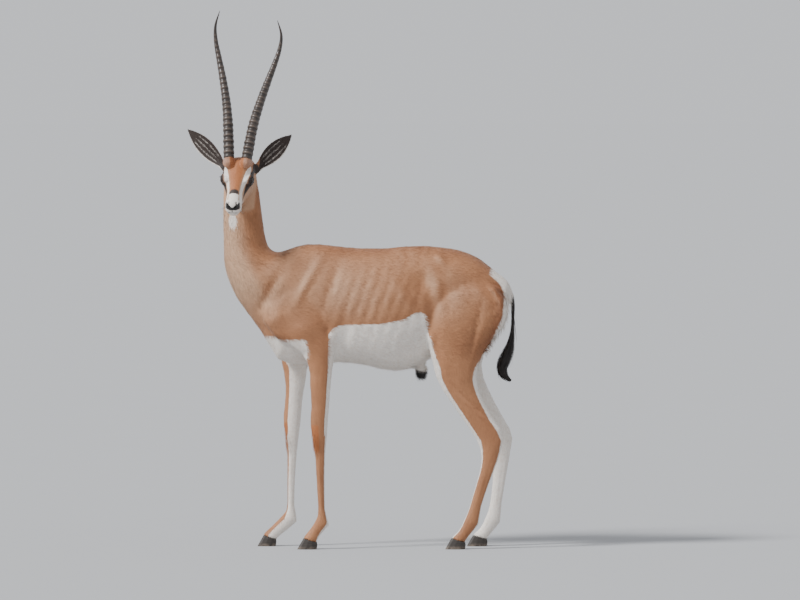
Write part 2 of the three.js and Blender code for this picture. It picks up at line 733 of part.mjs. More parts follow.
const ears = [];
const horns = [];
for (const side of [1, -1]) {
  const name = side > 0 ? "left" : "right";
  const ear = earSolid(side);
  ears.push(ear);
  body.add(node(`ear_${name}`, beyond(ear.solid, ear.axis, ear.cut), COLOURS.ear, HIDE));
  const curve = hornCurve(side);
  const horn = {
    solid: hornSolid(side),
    grown: hornSolid(side, GAP),
    axis: curve.getTangentAt(HORN_CUT),
    cut: curve.getPointAt(HORN_CUT),
  };
  horns.push(horn);
  body.add(node(`horn_${name}`, beyond(horn.solid, horn.axis, horn.cut), COLOURS.horn, 0.4));
  const eye = eyeSolid(side).transform(headFrame.elements);
  body.add(node(`eye_${name}`, eye, COLOURS.eye, 0.1));
}

const headAndNeck = headSolid(neckAndNape, ears, horns);
const neck = beyond(headAndNeck, HEAD_CUT.towards.clone().negate(), nape);
const head = beyond(headAndNeck, HEAD_CUT.towards, nape);
body.add(node("neck", largest(neck), COLOURS.neck, HIDE));
body.add(node("head", largest(head), COLOURS.coat, HIDE));

for (const [name, foot] of Object.entries(FEET)) {
  body.add(node(name, largest(legSolid(name, foot)), COLOURS.leg, HIDE));
  body.add(node(`claw_${name}_inner`, claw(foot, -1), COLOURS.hoof, 0.5));
  body.add(node(`claw_${name}_outer`, claw(foot, 1), COLOURS.hoof, 0.5));
}

// The origin: the middle of the part's box on the ground
const box = new THREE.Box3().setFromObject(body);
const middle = box.getCenter(vec(0, 0, 0));
body.position.set(-middle.x, -middle.y, -box.min.z);

const gazelle = new THREE.Group();
gazelle.add(body);

export default gazelle;
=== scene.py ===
# %% [markdown]
# A life-size standing gazelle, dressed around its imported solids.
# The solids already give every piece its true size and place, so nothing here moves or
# resizes them. The flesh is covered by one skin, because a real hide has no seams, and the
# hair is laid over that skin as thin mesh tufts.

# %% Load the solids as a fixed frame
import math

import bpy
import numpy as np
from mathutils import Euler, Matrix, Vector
from mathutils.bvhtree import BVHTree


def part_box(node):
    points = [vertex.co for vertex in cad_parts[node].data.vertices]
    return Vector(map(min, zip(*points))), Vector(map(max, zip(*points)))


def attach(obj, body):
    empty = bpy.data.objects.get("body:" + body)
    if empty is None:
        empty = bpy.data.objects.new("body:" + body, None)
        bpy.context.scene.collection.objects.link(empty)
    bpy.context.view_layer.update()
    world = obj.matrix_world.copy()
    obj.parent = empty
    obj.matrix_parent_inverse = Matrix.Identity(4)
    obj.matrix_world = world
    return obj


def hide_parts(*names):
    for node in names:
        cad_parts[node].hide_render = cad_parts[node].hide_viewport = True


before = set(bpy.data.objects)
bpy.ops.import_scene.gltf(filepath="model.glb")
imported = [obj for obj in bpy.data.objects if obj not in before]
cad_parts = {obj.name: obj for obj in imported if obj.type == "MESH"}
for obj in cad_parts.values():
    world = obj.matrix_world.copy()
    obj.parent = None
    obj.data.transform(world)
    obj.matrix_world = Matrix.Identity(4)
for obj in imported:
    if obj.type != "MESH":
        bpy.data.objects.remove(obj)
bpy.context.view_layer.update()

MM = 0.001

# %% [markdown]
# Places on the animal are measured from the middle of its trunk, the way the solids were
# drawn: X along the body with the head at the low end, Y across it, Z up from the soles.
# The frame's own origin is the middle of the whole box, so one shift carries the drawing
# into the frame, and it is read from a solid whose place in the drawing is known.

# %% The drawing's origin in the frame
SHEATH_FRONT_X = 188.0  # mm
sheath_low, sheath_high = (np.array(corner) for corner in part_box("sheath"))
SHIFT = np.array([sheath_low[0] - SHEATH_FRONT_X * MM, (sheath_low[1] + sheath_high[1]) / 2, 0.0])


def placed(x, y, z):
    """A point of the drawing, in millimetres, as a point of the frame in metres."""
    return Vector((x * MM + SHIFT[0], y * MM + SHIFT[1], z * MM + SHIFT[2]))


print("drawing origin in the frame", SHIFT.round(4))

# %% [markdown]
# The camera is set before anything else, because every later choice is judged through it.
# The photograph was taken from far off with a long lens, almost level, square to the flank.
# A pixel of it is 3 mm at the animal, so its 800 pixels span 2.4 m.

# %% Camera
PIXEL = 3.0 * MM
PHOTO_WIDTH = 800
SENSOR = 36.0  # mm
CAMERA_DISTANCE = 20.0
CAMERA_RISE = 2.0  # degrees
AIM = placed(150, 0, 744)


def add_camera():
    data = bpy.data.cameras.new("camera")
    data.sensor_width = SENSOR
    data.lens = SENSOR * CAMERA_DISTANCE / (PHOTO_WIDTH * PIXEL)
    data.clip_end = 400.0
    camera = bpy.data.objects.new("camera", data)
    bpy.context.scene.collection.objects.link(camera)
    rise = math.radians(CAMERA_RISE)
    camera.location = AIM + CAMERA_DISTANCE * Vector((0, -math.cos(rise), math.sin(rise)))
    camera.rotation_euler = (math.pi / 2 - rise, 0, 0)
    bpy.context.scene.camera = camera
    return camera


camera = add_camera()
print("lens", round(camera.data.lens), "mm at", CAMERA_DISTANCE, "m")

# %% [markdown]
# Operators act on whatever is selected, so a few small helpers keep the selection clean:
# one selects a single object, one applies a modifier by name, and the rest copy, join, turn
# faces outwards, and read or move vertices as arrays.

# %% Selection and modifier helpers
def only(piece):
    """Makes one object the selected and active one."""
    bpy.ops.object.select_all(action="DESELECT")
    piece.select_set(True)
    bpy.context.view_layer.objects.active = piece
    return piece


def modify(piece, kind, **settings):
    """Adds a modifier with its settings and applies it."""
    only(piece)
    modifier = piece.modifiers.new(kind.lower(), kind)
    for name, value in settings.items():
        setattr(modifier, name, value)
    bpy.ops.object.modifier_apply(modifier=modifier.name)
    return piece


def face_outwards(piece):
    only(piece)
    bpy.ops.object.mode_set(mode="EDIT")
    bpy.ops.mesh.select_all(action="SELECT")
    bpy.ops.mesh.normals_make_consistent(inside=False)
    bpy.ops.object.mode_set(mode="OBJECT")
    return piece


def shade_smooth(piece):
    only(piece)
    bpy.ops.object.shade_smooth()
    return piece


def copy_of(node, name):
    """A copy of a solid with its loose triangles merged."""
    piece = bpy.data.objects.new(name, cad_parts[node].data.copy())
    bpy.context.scene.collection.objects.link(piece)
    piece.data.materials.clear()
    only(piece)
    bpy.ops.object.mode_set(mode="EDIT")
    bpy.ops.mesh.select_all(action="SELECT")
    bpy.ops.mesh.remove_doubles(threshold=0.01 * MM)
    bpy.ops.object.mode_set(mode="OBJECT")
    return face_outwards(piece)


def join(pieces, name):
    only(pieces[0])
    for piece in pieces:
        piece.select_set(True)
    bpy.ops.object.join()
    pieces[0].name = name
    return pieces[0]


def triangles(piece):
    return sum(len(p.vertices) - 2 for p in piece.data.polygons)


def corners(piece):
    """The vertices of a piece as an array, in metres."""
    co = np.empty(len(piece.data.vertices) * 3)
    piece.data.vertices.foreach_get("co", co)
    return co.reshape(-1, 3)


def normals(piece):
    no = np.empty(len(piece.data.vertices) * 3, dtype=np.float32)
    piece.data.vertex_normals.foreach_get("vector", no)
    return no.reshape(-1, 3).astype(float)


def move_corners(piece, co):
    piece.data.vertices.foreach_set("co", co.ravel())
    piece.data.update()


def store(piece, fields):
    """Puts arrays of one value a vertex on a piece, each as an attribute."""
    for key, values in fields.items():
        field = piece.data.attributes.new(key, "FLOAT", "POINT")
        field.data.foreach_set("value", np.ascontiguousarray(values, dtype=np.float32))


def in_drawing(co):
    """Points of the frame in metres as points of the drawing in millimetres."""
    return (co - SHIFT) / MM


print("helpers ready")

# %% [markdown]
# The head is turned on the neck, so everything on it is measured in the head's own
# directions: X to its left, minus Y forward to the nose, Z up, all from the joint with the
# neck. Horns and ears use the same directions without the downward pitch.

# %% The head's own directions
HEAD_PITCH, HEAD_ROLL, HEAD_YAW = (math.radians(a) for a in (38, 2.5, 7))
HEAD_JOINT = np.array(placed(-322, 25, 1167))
HEAD_TURN = np.array(Euler((HEAD_PITCH, HEAD_ROLL, -HEAD_YAW), "XYZ").to_matrix())
UPRIGHT_TURN = np.array(Euler((0, HEAD_ROLL, -HEAD_YAW), "XYZ").to_matrix())


def in_head(co):
    """Points of the frame in metres as points of the head in millimetres."""
    return (co - HEAD_JOINT) @ HEAD_TURN / MM


def from_head(local):
    """Points of the head in millimetres as points of the frame in metres."""
    return np.asarray(local, dtype=float) * MM @ HEAD_TURN.T + HEAD_JOINT


print("head joint in the frame", HEAD_JOINT.round(4))

# %% [markdown]
# Horns, tail and locks are all tubes along a curve, so two helpers make them. The first
# spaces points evenly on a smooth curve through a few given ones. The second adds a flat
# grid, rolls it into rings round those points, merges the seam and closes both ends.

# %% Curves and tubes
def spline(points, count, fine=40):
    """Evenly spaced points on a smooth curve through a few given points."""
    p = np.asarray(points, dtype=float)
    p = np.vstack([2 * p[0] - p[1], p, 2 * p[-1] - p[-2]])
    t = np.linspace(0, 1, fine, endpoint=False)[:, None]
    dense = [
        b + 0.5 * t * (c - a + t * (2 * a - 5 * b + 4 * c - d + t * (3 * (b - c) + d - a)))
        for a, b, c, d in zip(p[:-3], p[1:-2], p[2:-1], p[3:])
    ]
    dense = np.vstack([*dense, p[-2]])
    length = np.concatenate([[0], np.cumsum(np.linalg.norm(np.diff(dense, axis=0), axis=1))])
    places = np.linspace(0, length[-1], count)
    return np.stack([np.interp(places, length, column) for column in dense.T], axis=1)


def unit(vectors):
    return vectors / np.maximum(np.linalg.norm(vectors, axis=-1, keepdims=True), 1e-12)


def tube(name, centres, half_a, half_b, sides, swell=None):
    """A closed tube: each ring is an ellipse on two half axes, all in metres. A swell is a
    function of ring and angle that gives a factor on the distance from the centre."""
    last = len(centres) - 1
    bpy.ops.object.select_all(action="DESELECT")
    bpy.ops.mesh.primitive_grid_add(x_subdivisions=sides, y_subdivisions=last, size=2)
    piece = bpy.context.object
    piece.name = name
    flat = corners(piece)
    angle = (flat[:, 0] + 1) * math.pi
    ring = np.rint((flat[:, 1] + 1) / 2 * last).astype(int)
    out = half_a[ring] * np.cos(angle)[:, None] + half_b[ring] * np.sin(angle)[:, None]
    if swell:
        out *= swell(ring, angle)[:, None]
    move_corners(piece, centres[ring] + out)
    only(piece)
    bpy.ops.object.mode_set(mode="EDIT")
    bpy.ops.mesh.select_all(action="SELECT")
    bpy.ops.mesh.remove_doubles(threshold=0.001 * MM)
    bpy.ops.mesh.fill_holes(sides=0)
    bpy.ops.object.mode_set(mode="OBJECT")
    return face_outwards(piece)


print("curve and tube helpers ready")

# %% [markdown]
# The skin starts as copies of the flesh solids. Each copy is swollen by half a millimetre so
# that neighbours overlap, and a voxel remesh turns the overlapping lot into one closed
# surface. The tail's solid is mostly hair, so only its fleshy dock is added, as a tube. The
# head and ears need finer voxels than the trunk, so the skin is remeshed twice, cut at a
# level below the chin, and the two rims are bridged.

# %% One skin from the flesh solids
LEG_NODES = ["foreleg_left", "foreleg_right", "hindleg_left", "hindleg_right"]
HEAD_NODES = ["head", "neck", "ear_left", "ear_right"]
FLESH_NODES = ["torso", "sheath", *HEAD_NODES, *LEG_NODES]
OVERLAP = 0.5 * MM
BODY_VOXEL = 3.2 * MM
HEAD_VOXEL = 1.4 * MM
NECK_CUT_Z = 962 * MM
BODY_KEEP = 0.42  # share of the body's faces that stay after decimation
# The tail's middle line from the rump to the tip in the midplane, x and z, with its half
# depth and half width
TAIL_LINE = [
    (430, 808, 14, 18), (461, 793, 15, 19), (478, 769, 13, 15), (487, 738, 7.5, 10),
    (489, 701, 5, 8), (487, 650, 5.5, 10), (480, 604, 8, 13), (465, 567, 11, 14),
    (455, 539, 12, 13), (463, 516, 9, 8), (484, 500, 2, 3),
]
DOCK_POINTS = 7  # points of that line that are flesh; below them the tail is only hair
DOCK_STEPS, DOCK_SIDES, DOCK_END_WIDTH = 30, 16, 0.35


def tail_rings(count, last=None):
    """Centres and half sizes along the tail, as far as one of its points."""
    line = TAIL_LINE[:last]
    rows = spline([(x, 0, z) for x, z, _, _ in line], count)
    place = np.linspace(0, 1, count)
    knots = np.linspace(0, 1, len(line))
    depth = np.interp(place, knots, [row[2] for row in line])
    width = np.interp(place, knots, [row[3] for row in line])
    return rows * MM + SHIFT, depth * MM, width * MM


def dock():
    centres, depth, width = tail_rings(DOCK_STEPS, last=DOCK_POINTS)
    tangent = unit(np.gradient(centres, axis=0))
    side = np.tile([0.0, 1.0, 0.0], (len(centres), 1))
    slim = np.linspace(1, DOCK_END_WIDTH, len(centres))
    half_width = side * (width * slim)[:, None]
    half_depth = unit(np.cross(tangent, side)) * (depth * slim)[:, None]
    return tube("dock", centres, half_width, half_depth, DOCK_SIDES)


def melted(nodes, voxel, name, extra=()):
    """Copies of solids as one closed surface of small, even quads."""
    parts = list(extra)
    for node in nodes:
        part = copy_of(node, f"{name}_{node}")
        modify(part, "DISPLACE", strength=OVERLAP, mid_level=0.0)
        parts.append(part)
    whole = join(parts, name)
    modify(whole, "REMESH", mode="VOXEL", voxel_size=voxel, adaptivity=0.0)
    return whole


def keep_side(piece, level, above):
    """Cuts a piece at a level and keeps one side, open at the rim."""
    only(piece)
    bpy.ops.object.mode_set(mode="EDIT")
    bpy.ops.mesh.select_all(action="SELECT")
    bpy.ops.mesh.bisect(
        plane_co=(0, 0, level), plane_no=(0, 0, 1), clear_inner=above, clear_outer=not above
    )
    bpy.ops.object.mode_set(mode="OBJECT")
    return piece


def bridge_rims(piece):
    only(piece)
    bpy.ops.object.mode_set(mode="EDIT")
    bpy.ops.mesh.select_mode(type="EDGE")
    bpy.ops.mesh.select_all(action="DESELECT")
    bpy.ops.mesh.select_non_manifold(
        extend=False, use_wire=False, use_multi_face=False, use_non_contiguous=False, use_verts=False
    )
    bpy.ops.mesh.bridge_edge_loops()
    bpy.ops.mesh.select_mode(type="VERT")
    bpy.ops.object.mode_set(mode="OBJECT")
    face_outwards(piece)


body_skin = melted(FLESH_NODES, BODY_VOXEL, "skin", [dock()])
body_skin = keep_side(body_skin, NECK_CUT_Z - MM, above=False)
modify(body_skin, "DECIMATE", ratio=BODY_KEEP)
head_skin = keep_side(melted(HEAD_NODES, HEAD_VOXEL, "head_skin"), NECK_CUT_Z + MM, above=True)
print("body", triangles(body_skin), "head", triangles(head_skin))
skin = join([body_skin, head_skin], "skin")
bridge_rims(skin)
print("skin", triangles(skin), "triangles")

# %% [markdown]
# The remeshed skin still shows the solids' flat facets. Averaging each vertex with its
# neighbours melts them away, but it also shrinks thin forms. So what the averaging took away
# is averaged too and put back: the facets stay gone and the legs keep their girth. How
# strongly each region is smoothed is a share: full on the trunk, little on legs and ears,
# and least round the lips and nostrils, where a blunt form would lose the face.

# %% Smoothing the skin
SMOOTH_ROUNDS = 26
SMOOTH_TRUNK, SMOOTH_LEG, SMOOTH_EAR, SMOOTH_HEAD, SMOOTH_MUZZLE = 0.6, 0.16, 0.12, 0.42, 0.2
LEG_TOP_Z = (500, 640)  # mm, where legs blend into the trunk
EYE_PLACE = np.array([34.5, -119, 14])  # mm in the head, left eye
MUZZLE_Y = (-205, -185)
# Where the head begins, as pairs of a first and a last place, mm. Below and behind the jaw
# is neck, and so is what lies beside it under the ears.
HEAD_LOW_Z, HEAD_REAR_Y, CHIN_LEVEL_Z = (-84, -74), (-30, 0), (965, 985)
HEAD_SIDE_X, BELOW_EAR_Z = (46, 52), (-35, -5)
EAR_FROM_X, EAR_LEVEL_Z = (50, 58), (1110, 1125)


def ramp(values, low, high):
    """Zero below a low value, one above a high one, with a smooth rise between."""
    t = np.clip((values - low) / (high - low), 0, 1)
    return t * t * (3 - 2 * t)


def neighbour_mean(piece):
    """A function that averages any per-vertex values over each vertex's neighbours."""
    ends = np.empty(len(piece.data.edges) * 2, dtype=np.int64)
    piece.data.edges.foreach_get("vertices", ends)
    a, b = ends.reshape(-1, 2).T
    count = len(piece.data.vertices)
    degree = np.bincount(a, minlength=count) + np.bincount(b, minlength=count)

    def mean(values):
        sums = [
            np.bincount(a, column[b], count) + np.bincount(b, column[a], count)
            for column in values.T
        ]
        return np.stack(sums, axis=1) / degree[:, None]

    return mean


def relaxed(values, mean, share, rounds):
    for _ in range(rounds):
        values = values + share * (mean(values) - values)
    return values


def smoothed(co, mean, share, rounds):
    """Averages facets away, then puts back the girth that the averaging took."""
    flat = relaxed(co, mean, share, rounds)
    return flat + relaxed(co - flat, mean, share, rounds)


def is_head(co):
    """One on head and ears, zero on the neck below and behind the jaw."""
    x, y, z = in_head(co).T
    beside = ramp(np.abs(x), *HEAD_SIDE_X) * (1 - ramp(z, *BELOW_EAR_Z))
    height = ramp(z, *HEAD_LOW_Z) * ramp(co[:, 2] / MM, *CHIN_LEVEL_Z)
    return height * ramp(-y, *HEAD_REAR_Y) * (1 - beside)


def is_ear(co):
    return ramp(np.abs(in_head(co)[:, 0]), *EAR_FROM_X) * ramp(co[:, 2] / MM, *EAR_LEVEL_Z)


def smoothing_share(co):
    local = in_head(co)
    z = co[:, 2] / MM
    leg = 1 - ramp(z, *LEG_TOP_Z)
    share = SMOOTH_TRUNK + (SMOOTH_LEG - SMOOTH_TRUNK) * leg
    share += (SMOOTH_HEAD - share) * is_head(co)
    share += (SMOOTH_MUZZLE - share) * (1 - ramp(local[:, 1], *MUZZLE_Y)) * is_head(co)
    share += (SMOOTH_EAR - share) * is_ear(co)
    return share[:, None]


skin_mean = neighbour_mean(skin)
skin_co = corners(skin)
skin_co = smoothed(skin_co, skin_mean, smoothing_share(skin_co), SMOOTH_ROUNDS)
move_corners(skin, skin_co)
print("smoothed", len(skin_co), "vertices")
# %% [markdown]
# The solids give the animal its masses, but a lean gazelle also shows muscle and bone under
# its short coat. Each of these forms is a soft swelling or hollow with a place, two radii, a
# slant and a height, and all are added along the skin's own direction in one pass, the way a
# sculptor presses clay. The places are side-view places on the drawing, and each form is
# made on both flanks.

# %% Muscle and bone under the skin
# x, z, half length, half height, slant in degrees (up to the rear), height, all in mm
BODY_FORMS = {
    "blade of the shoulder": (-128, 800, 14, 85, -30, 3.5),
    "hollow behind the blade": (-55, 790, 22, 75, -18, -4.0),
    "point of the shoulder": (-222, 690, 26, 30, 0, 5.0),
    "upper arm": (-120, 665, 60, 36, 25, 5.0),
    "elbow": (-52, 640, 15, 20, 0, 4.5),
    "hollow behind the elbow": (-12, 655, 20, 60, 0, -4.0),
    "groove before the shoulder": (-240, 775, 16, 70, -30, -4.0),
    "side of the neck": (-285, 820, 26, 90, 32, 3.5),
    "rib cage": (70, 725, 120, 95, 0, 4.0),
    "edge of the last rib": (172, 742, 16, 80, 32, 2.5),
    "hollow of the flank": (222, 800, 40, 34, -20, -8.0),
    "fold of the flank": (226, 690, 14, 60, 10, 3.5),
    "hip bone": (272, 868, 22, 15, -30, 4.5),
    "front of the thigh": (262, 765, 20, 95, 12, 4.0),
    "buttock": (410, 742, 40, 62, 8, 3.5),
    "groove of the thigh": (376, 660, 10, 95, -12, -3.0),
    "middle of the thigh": (320, 700, 48, 70, -8, 3.0),
    "knee cap": (240, 632, 18, 24, 0, 4.5),
    "calf": (352, 530, 26, 50, -30, 2.5),
    "pin bone": (456, 770, 14, 20, 0, 3.0),
}
REAR_OF_THIGH = (452, 715, 60, 95, 10, 16.0)  # pushed straight back
BESIDE_TAIL_Y = (15, 28)
FORM_EDGE = 1.6  # more makes every form end sooner
RIB_CAGE = (70, 735, 150, 110, 0, 0.7)
RIB_SPACING, RIB_SLANT = 34.0, 0.35
SPINE_RIDGE, SPINE_HALF_WIDTH = 1.6, 9
SPINE_FROM_X, SPINE_TO_X = (-160, -60), (380, 430)


def soft_form(x, z, form):
    """Height of a form at a place in side view."""
    x0, z0, length, width, slant, height = form
    turn = math.radians(slant)
    u = (x - x0) * math.cos(turn) + (z - z0) * math.sin(turn)
    w = -(x - x0) * math.sin(turn) + (z - z0) * math.cos(turn)
    return height * np.exp(-0.5 * ((u / length * FORM_EDGE) ** 2 + (w / width * FORM_EDGE) ** 2))


def body_relief(co, no):
    """Heights in millimetres along the skin for all the forms of the body."""
    x, y, z = in_drawing(co).T
    flank = ramp(np.abs(no[:, 1]), 0.25, 0.75)
    height = sum(soft_form(x, z, form) for form in BODY_FORMS.values()) * flank
    rib = (x - RIB_SLANT * (z - RIB_CAGE[1])) / RIB_SPACING
    height += np.sin(2 * math.pi * rib) * soft_form(x, z, RIB_CAGE) * flank
    back = ramp(no[:, 2], 0.6, 0.95) * np.exp(-((y / SPINE_HALF_WIDTH) ** 2))
    height += SPINE_RIDGE * back * ramp(x, *SPINE_FROM_X) * (1 - ramp(x, *SPINE_TO_X))
    rear = ramp(no[:, 0], 0.1, 0.7) * ramp(np.abs(y), *BESIDE_TAIL_Y)
    height += soft_form(x, z, REAR_OF_THIGH) * rear
    return height * (1 - is_head(co))


skin_no = normals(skin)
move_corners(skin, corners(skin) + skin_no * (body_relief(corners(skin), skin_no) * MM)[:, None])
print("body forms", len(BODY_FORMS))

# %% [markdown]
# Below the belly each leg has its own front, rear, inner and outer side. A few points down
# the middle of each leg give those directions at any height. They place the tendon grooves
# here, and later the white of the inner sides.

# %% The legs' own directions
# Middle of each leg down to the hoof: z, x, distance from the midplane
LEG_LINES = {
    "foreleg_left": [(660, -120, 68), (550, -87, 73), (430, -88, 74), (385, -92, 73), (290, -89, 71),
                     (200, -88, 70), (115, -85, 69), (85, -84, 68), (55, -102, 68), (0, -128, 68)],
    "foreleg_right": [(660, -150, 68), (550, -164, 73), (430, -171, 74), (380, -175, 73),
                      (290, -175, 71), (200, -178, 70), (115, -179, 69), (85, -182, 68),
                      (55, -214, 68), (0, -250, 68)],
    "hindleg_left": [(650, 330, 69), (580, 325, 70), (510, 322, 70), (450, 349, 69), (380, 390, 68),
                     (325, 424, 67), (280, 422, 67), (180, 392, 66), (118, 373, 65), (82, 362, 65),
                     (52, 345, 65), (0, 315, 65)],
    "hindleg_right": [(650, 332, 69), (580, 334, 70), (510, 342, 70), (450, 378, 69), (385, 420, 68),
                      (330, 452, 67), (284, 456, 67), (180, 446, 66), (118, 437, 65), (80, 428, 65),
                      (52, 412, 65), (0, 382, 65)],
}


# Grooves as forms in a leg's side view: distance to the rear of its middle line, height
FORE_CANNON_GROOVE = (4, 225, 4.5, 95, 0, -1.1)
HIND_CANNON_GROOVE = (6, 195, 5, 85, 0, -1.1)
HOCK_GROOVE = (10, 430, 7, 70, 28, -3.2)
LEG_GROOVES_Z = (480, 520)  # grooves fade out between these


def leg_places(co):
    """For each point: number of its leg, distance to the rear of the leg's middle line
    and distance outwards from it, both in millimetres."""
    x, y, z = in_drawing(co).T
    best = np.full(len(co), 1e9)
    index, rear, outward = np.zeros(len(co), dtype=int), np.zeros(len(co)), np.zeros(len(co))
    for k, (name, rows) in enumerate(LEG_LINES.items()):
        side = -1 if name.endswith("left") else 1
        zs, xs, ys = np.array(rows[::-1], dtype=float).T
        dx, dy = x - np.interp(z, zs, xs), side * y - np.interp(z, zs, ys)
        near = (dx ** 2 + dy ** 2) < best
        best = np.where(near, dx ** 2 + dy ** 2, best)
        index = np.where(near, k, index)
        rear = np.where(near, dx, rear)
        outward = np.where(near, dy, outward)
    return index, rear, outward


def leg_relief(co):
    """Grooves between bone and tendon behind the cannon bones and above the hocks."""
    index, rear, _ = leg_places(co)
    z = co[:, 2] / MM
    hind = soft_form(rear, z, HIND_CANNON_GROOVE) + soft_form(rear, z, HOCK_GROOVE)
    relief = np.where(index < 2, soft_form(rear, z, FORE_CANNON_GROOVE), hind)
    return relief * (1 - ramp(z, *LEG_GROOVES_Z))


move_corners(skin, corners(skin) + normals(skin) * (leg_relief(corners(skin)) * MM)[:, None])
print("leg grooves made")
# %% [markdown]
# The head gets the most care. Nostrils, lips, the split under the nose, the slit of the
# scent gland and the hollows of the cheek are narrow, so they are carved into the finished
# skin by moving its vertices: each is a groove along a short line or a dent at a point, with
# a width and a depth, and the rims of nostrils and lips are raised a little beside it.

# %% Carving the face
NOSTRIL_LINE = [(6.0, -226.5, -5.5), (10.5, -226.5, -1.5), (14.0, -221.0, 3.0), (12.0, -216.5, 5.5)]
MOUTH_LINE = [(0, -229, -24.5), (9, -226.5, -25), (17, -215, -26), (21, -195, -29), (22.5, -172, -34)]
SPLIT_LINE = [(0, -229.5, -7), (0, -230, -16), (0, -229, -24)]
GLAND_LINE = [(32.5, -141, 8), (29.5, -149, 1), (27.5, -155, -4)]
BROW_LINE = [(33, -135, 26), (42, -121, 31), (45, -106, 28), (44, -96, 20)]
# Line, half width and height, all in mm; lines off the midline are made on both sides
FACE_GROOVES = [
    (NOSTRIL_LINE, 2.6, -4.5),
    (MOUTH_LINE, 1.9, -2.6),
    (SPLIT_LINE, 1.3, -1.3),
    (GLAND_LINE, 2.4, -1.6),
    (BROW_LINE, 4.5, 1.6),
]
NOSTRIL_RIM = [(8, -224, -9), (15, -221, -5), (18, -214, 2), (15, -209, 8)]
UPPER_LIP_LINE = [(3, -229, -19.5), (12, -223, -20), (19, -210, -21), (22, -192, -24)]
LOWER_LIP_LINE = [(0, -224, -30), (10, -221, -31), (17, -208, -33), (20, -190, -36)]
FACE_SWELLS = [
    (NOSTRIL_RIM, 3.5, 1.2),
    (UPPER_LIP_LINE, 5.0, 1.3),
    (LOWER_LIP_LINE, 4.0, 0.9),
]
# Place, radius and height of soft dents and swellings, left side
FACE_DENTS = [
    ((25, -160, -2), 17, -2.2),
    ((38, -95, -8), 20, 1.8),
    ((36, -118, -22), 12, -1.6),
    ((21, -178, -22), 14, -1.2),
    ((14, -112, 44), 12, -1.5),
    ((40, -60, 22), 16, -2.0),
]


def to_line(points, line):
    """Distance from each point to a line of a few points, in the line's own units."""
    nearest = np.full(len(points), 1e9)
    line = np.asarray(line, dtype=float)
    for a, b in zip(line[:-1], line[1:]):
        along = b - a
        t = np.clip((points - a) @ along / (along @ along), 0, 1)
        gap = np.linalg.norm(points - a - t[:, None] * along, axis=1)
        nearest = np.minimum(nearest, gap)
    return nearest


def bell(distance, width):
    return np.exp(-((distance / width) ** 2))


def as_left(local):
    """Points of the head with those of its right side mirrored to the left."""
    return np.hstack([np.abs(local[:, :1]), local[:, 1:]])


def face_relief(local):
    """Heights in millimetres over the face; the two sides are alike."""
    twin = as_left(local)
    height = sum(h * bell(to_line(twin, line), w) for line, w, h in FACE_GROOVES + FACE_SWELLS)
    return height + sum(h * bell(np.linalg.norm(twin - p, axis=1), r) for p, r, h in FACE_DENTS)


face_part = is_head(corners(skin)) * (1 - is_ear(corners(skin)))
face_move = face_relief(in_head(corners(skin))) * face_part * MM
move_corners(skin, corners(skin) + normals(skin) * face_move[:, None])
print("deepest carving", round(float(face_move.min()) / MM, 1), "mm")

# %% [markdown]
# The coat stands on the skin, so the skin is drawn in by the coat's depth, which differs
# over the body: deepest on rump, back and neck, almost nothing on face, ears and lower legs.
# With the tufts on it the animal keeps the solids' outline. Decimation then takes triangles
# away where the skin is flat and leaves them in lips, nostrils and lids.

# %% Room for the coat
COAT_TRUNK, COAT_LEG, COAT_FACE, COAT_EAR = 2.2, 0.8, 0.6, 0.3  # mm
SKIN_TRIANGLES = 192000


def coat_depth(co):
    """Depth of the coat in millimetres."""
    leg = 1 - ramp(co[:, 2] / MM, 300, 620)
    depth = COAT_TRUNK + (COAT_LEG - COAT_TRUNK) * leg
    depth += (COAT_FACE - depth) * is_head(co)
    return depth + (COAT_EAR - depth) * is_ear(co)


skin_co = corners(skin)
drawn_in = relaxed(coat_depth(skin_co)[:, None], skin_mean, 0.5, 6)
move_corners(skin, skin_co - normals(skin) * drawn_in * MM)
modify(skin, "DECIMATE", ratio=SKIN_TRIANGLES / triangles(skin))
shade_smooth(skin)
skin_co, skin_no = corners(skin), normals(skin)
print("skin", triangles(skin), "triangles")
print("coat", drawn_in.min().round(2), "to", drawn_in.max().round(2), "mm deep")

# %% [markdown]
# Eyes sit deep between two lids. An eye is a ball whose front bulges a little and shows a
# dark brown iris and a pupil that is a level slot, as on all hoofed grazers. The lids are a
# rim of bare dark skin round an almond, thicker above than below, that lies on the ball and
# sinks into the fur at its outer edge, so each is a ring bent onto the ball.

# %% Eyes and lids
EYE_RADIUS = 15.5
EYE_LOOK = unit(np.array([1.0, -0.5, 0.05]))
LID_TILT = math.radians(14)  # front corner down
ALMOND_LENGTH, ALMOND_HEIGHT = 13.2, 9.6  # half sizes of the opening, mm
ALMOND_POINT = 1.75  # 2 is an ellipse, less draws the corners out
LID_WIDTH, LID_THICK, UPPER_LID_THICK = 3.0, 1.5, 2.1
LID_SIDES, LID_STEPS = 14, 84
PUPIL_LENGTH, PUPIL_HEIGHT, IRIS_RADIUS = 7.2, 2.9, 11.5
BALL_SHARE = 0.98  # the ball is a little smaller than its socket
BULGE, BULGE_WIDTH = 0.9, 8.5
RING_TUBE = 0.25  # of the torus that a lid is bent from, whose own radius is 1


def eye_directions(side):
    """Look, forward and up of an eye in the head, each a unit vector."""
    look = EYE_LOOK * [side, 1, 1]
    up = unit(np.array([0, 0, 1.0]) - look * look[2])
    forward = np.cross(up, look) * side
    c, s = math.cos(LID_TILT), math.sin(LID_TILT)
    return look, forward * c - up * s, up * c + forward * s


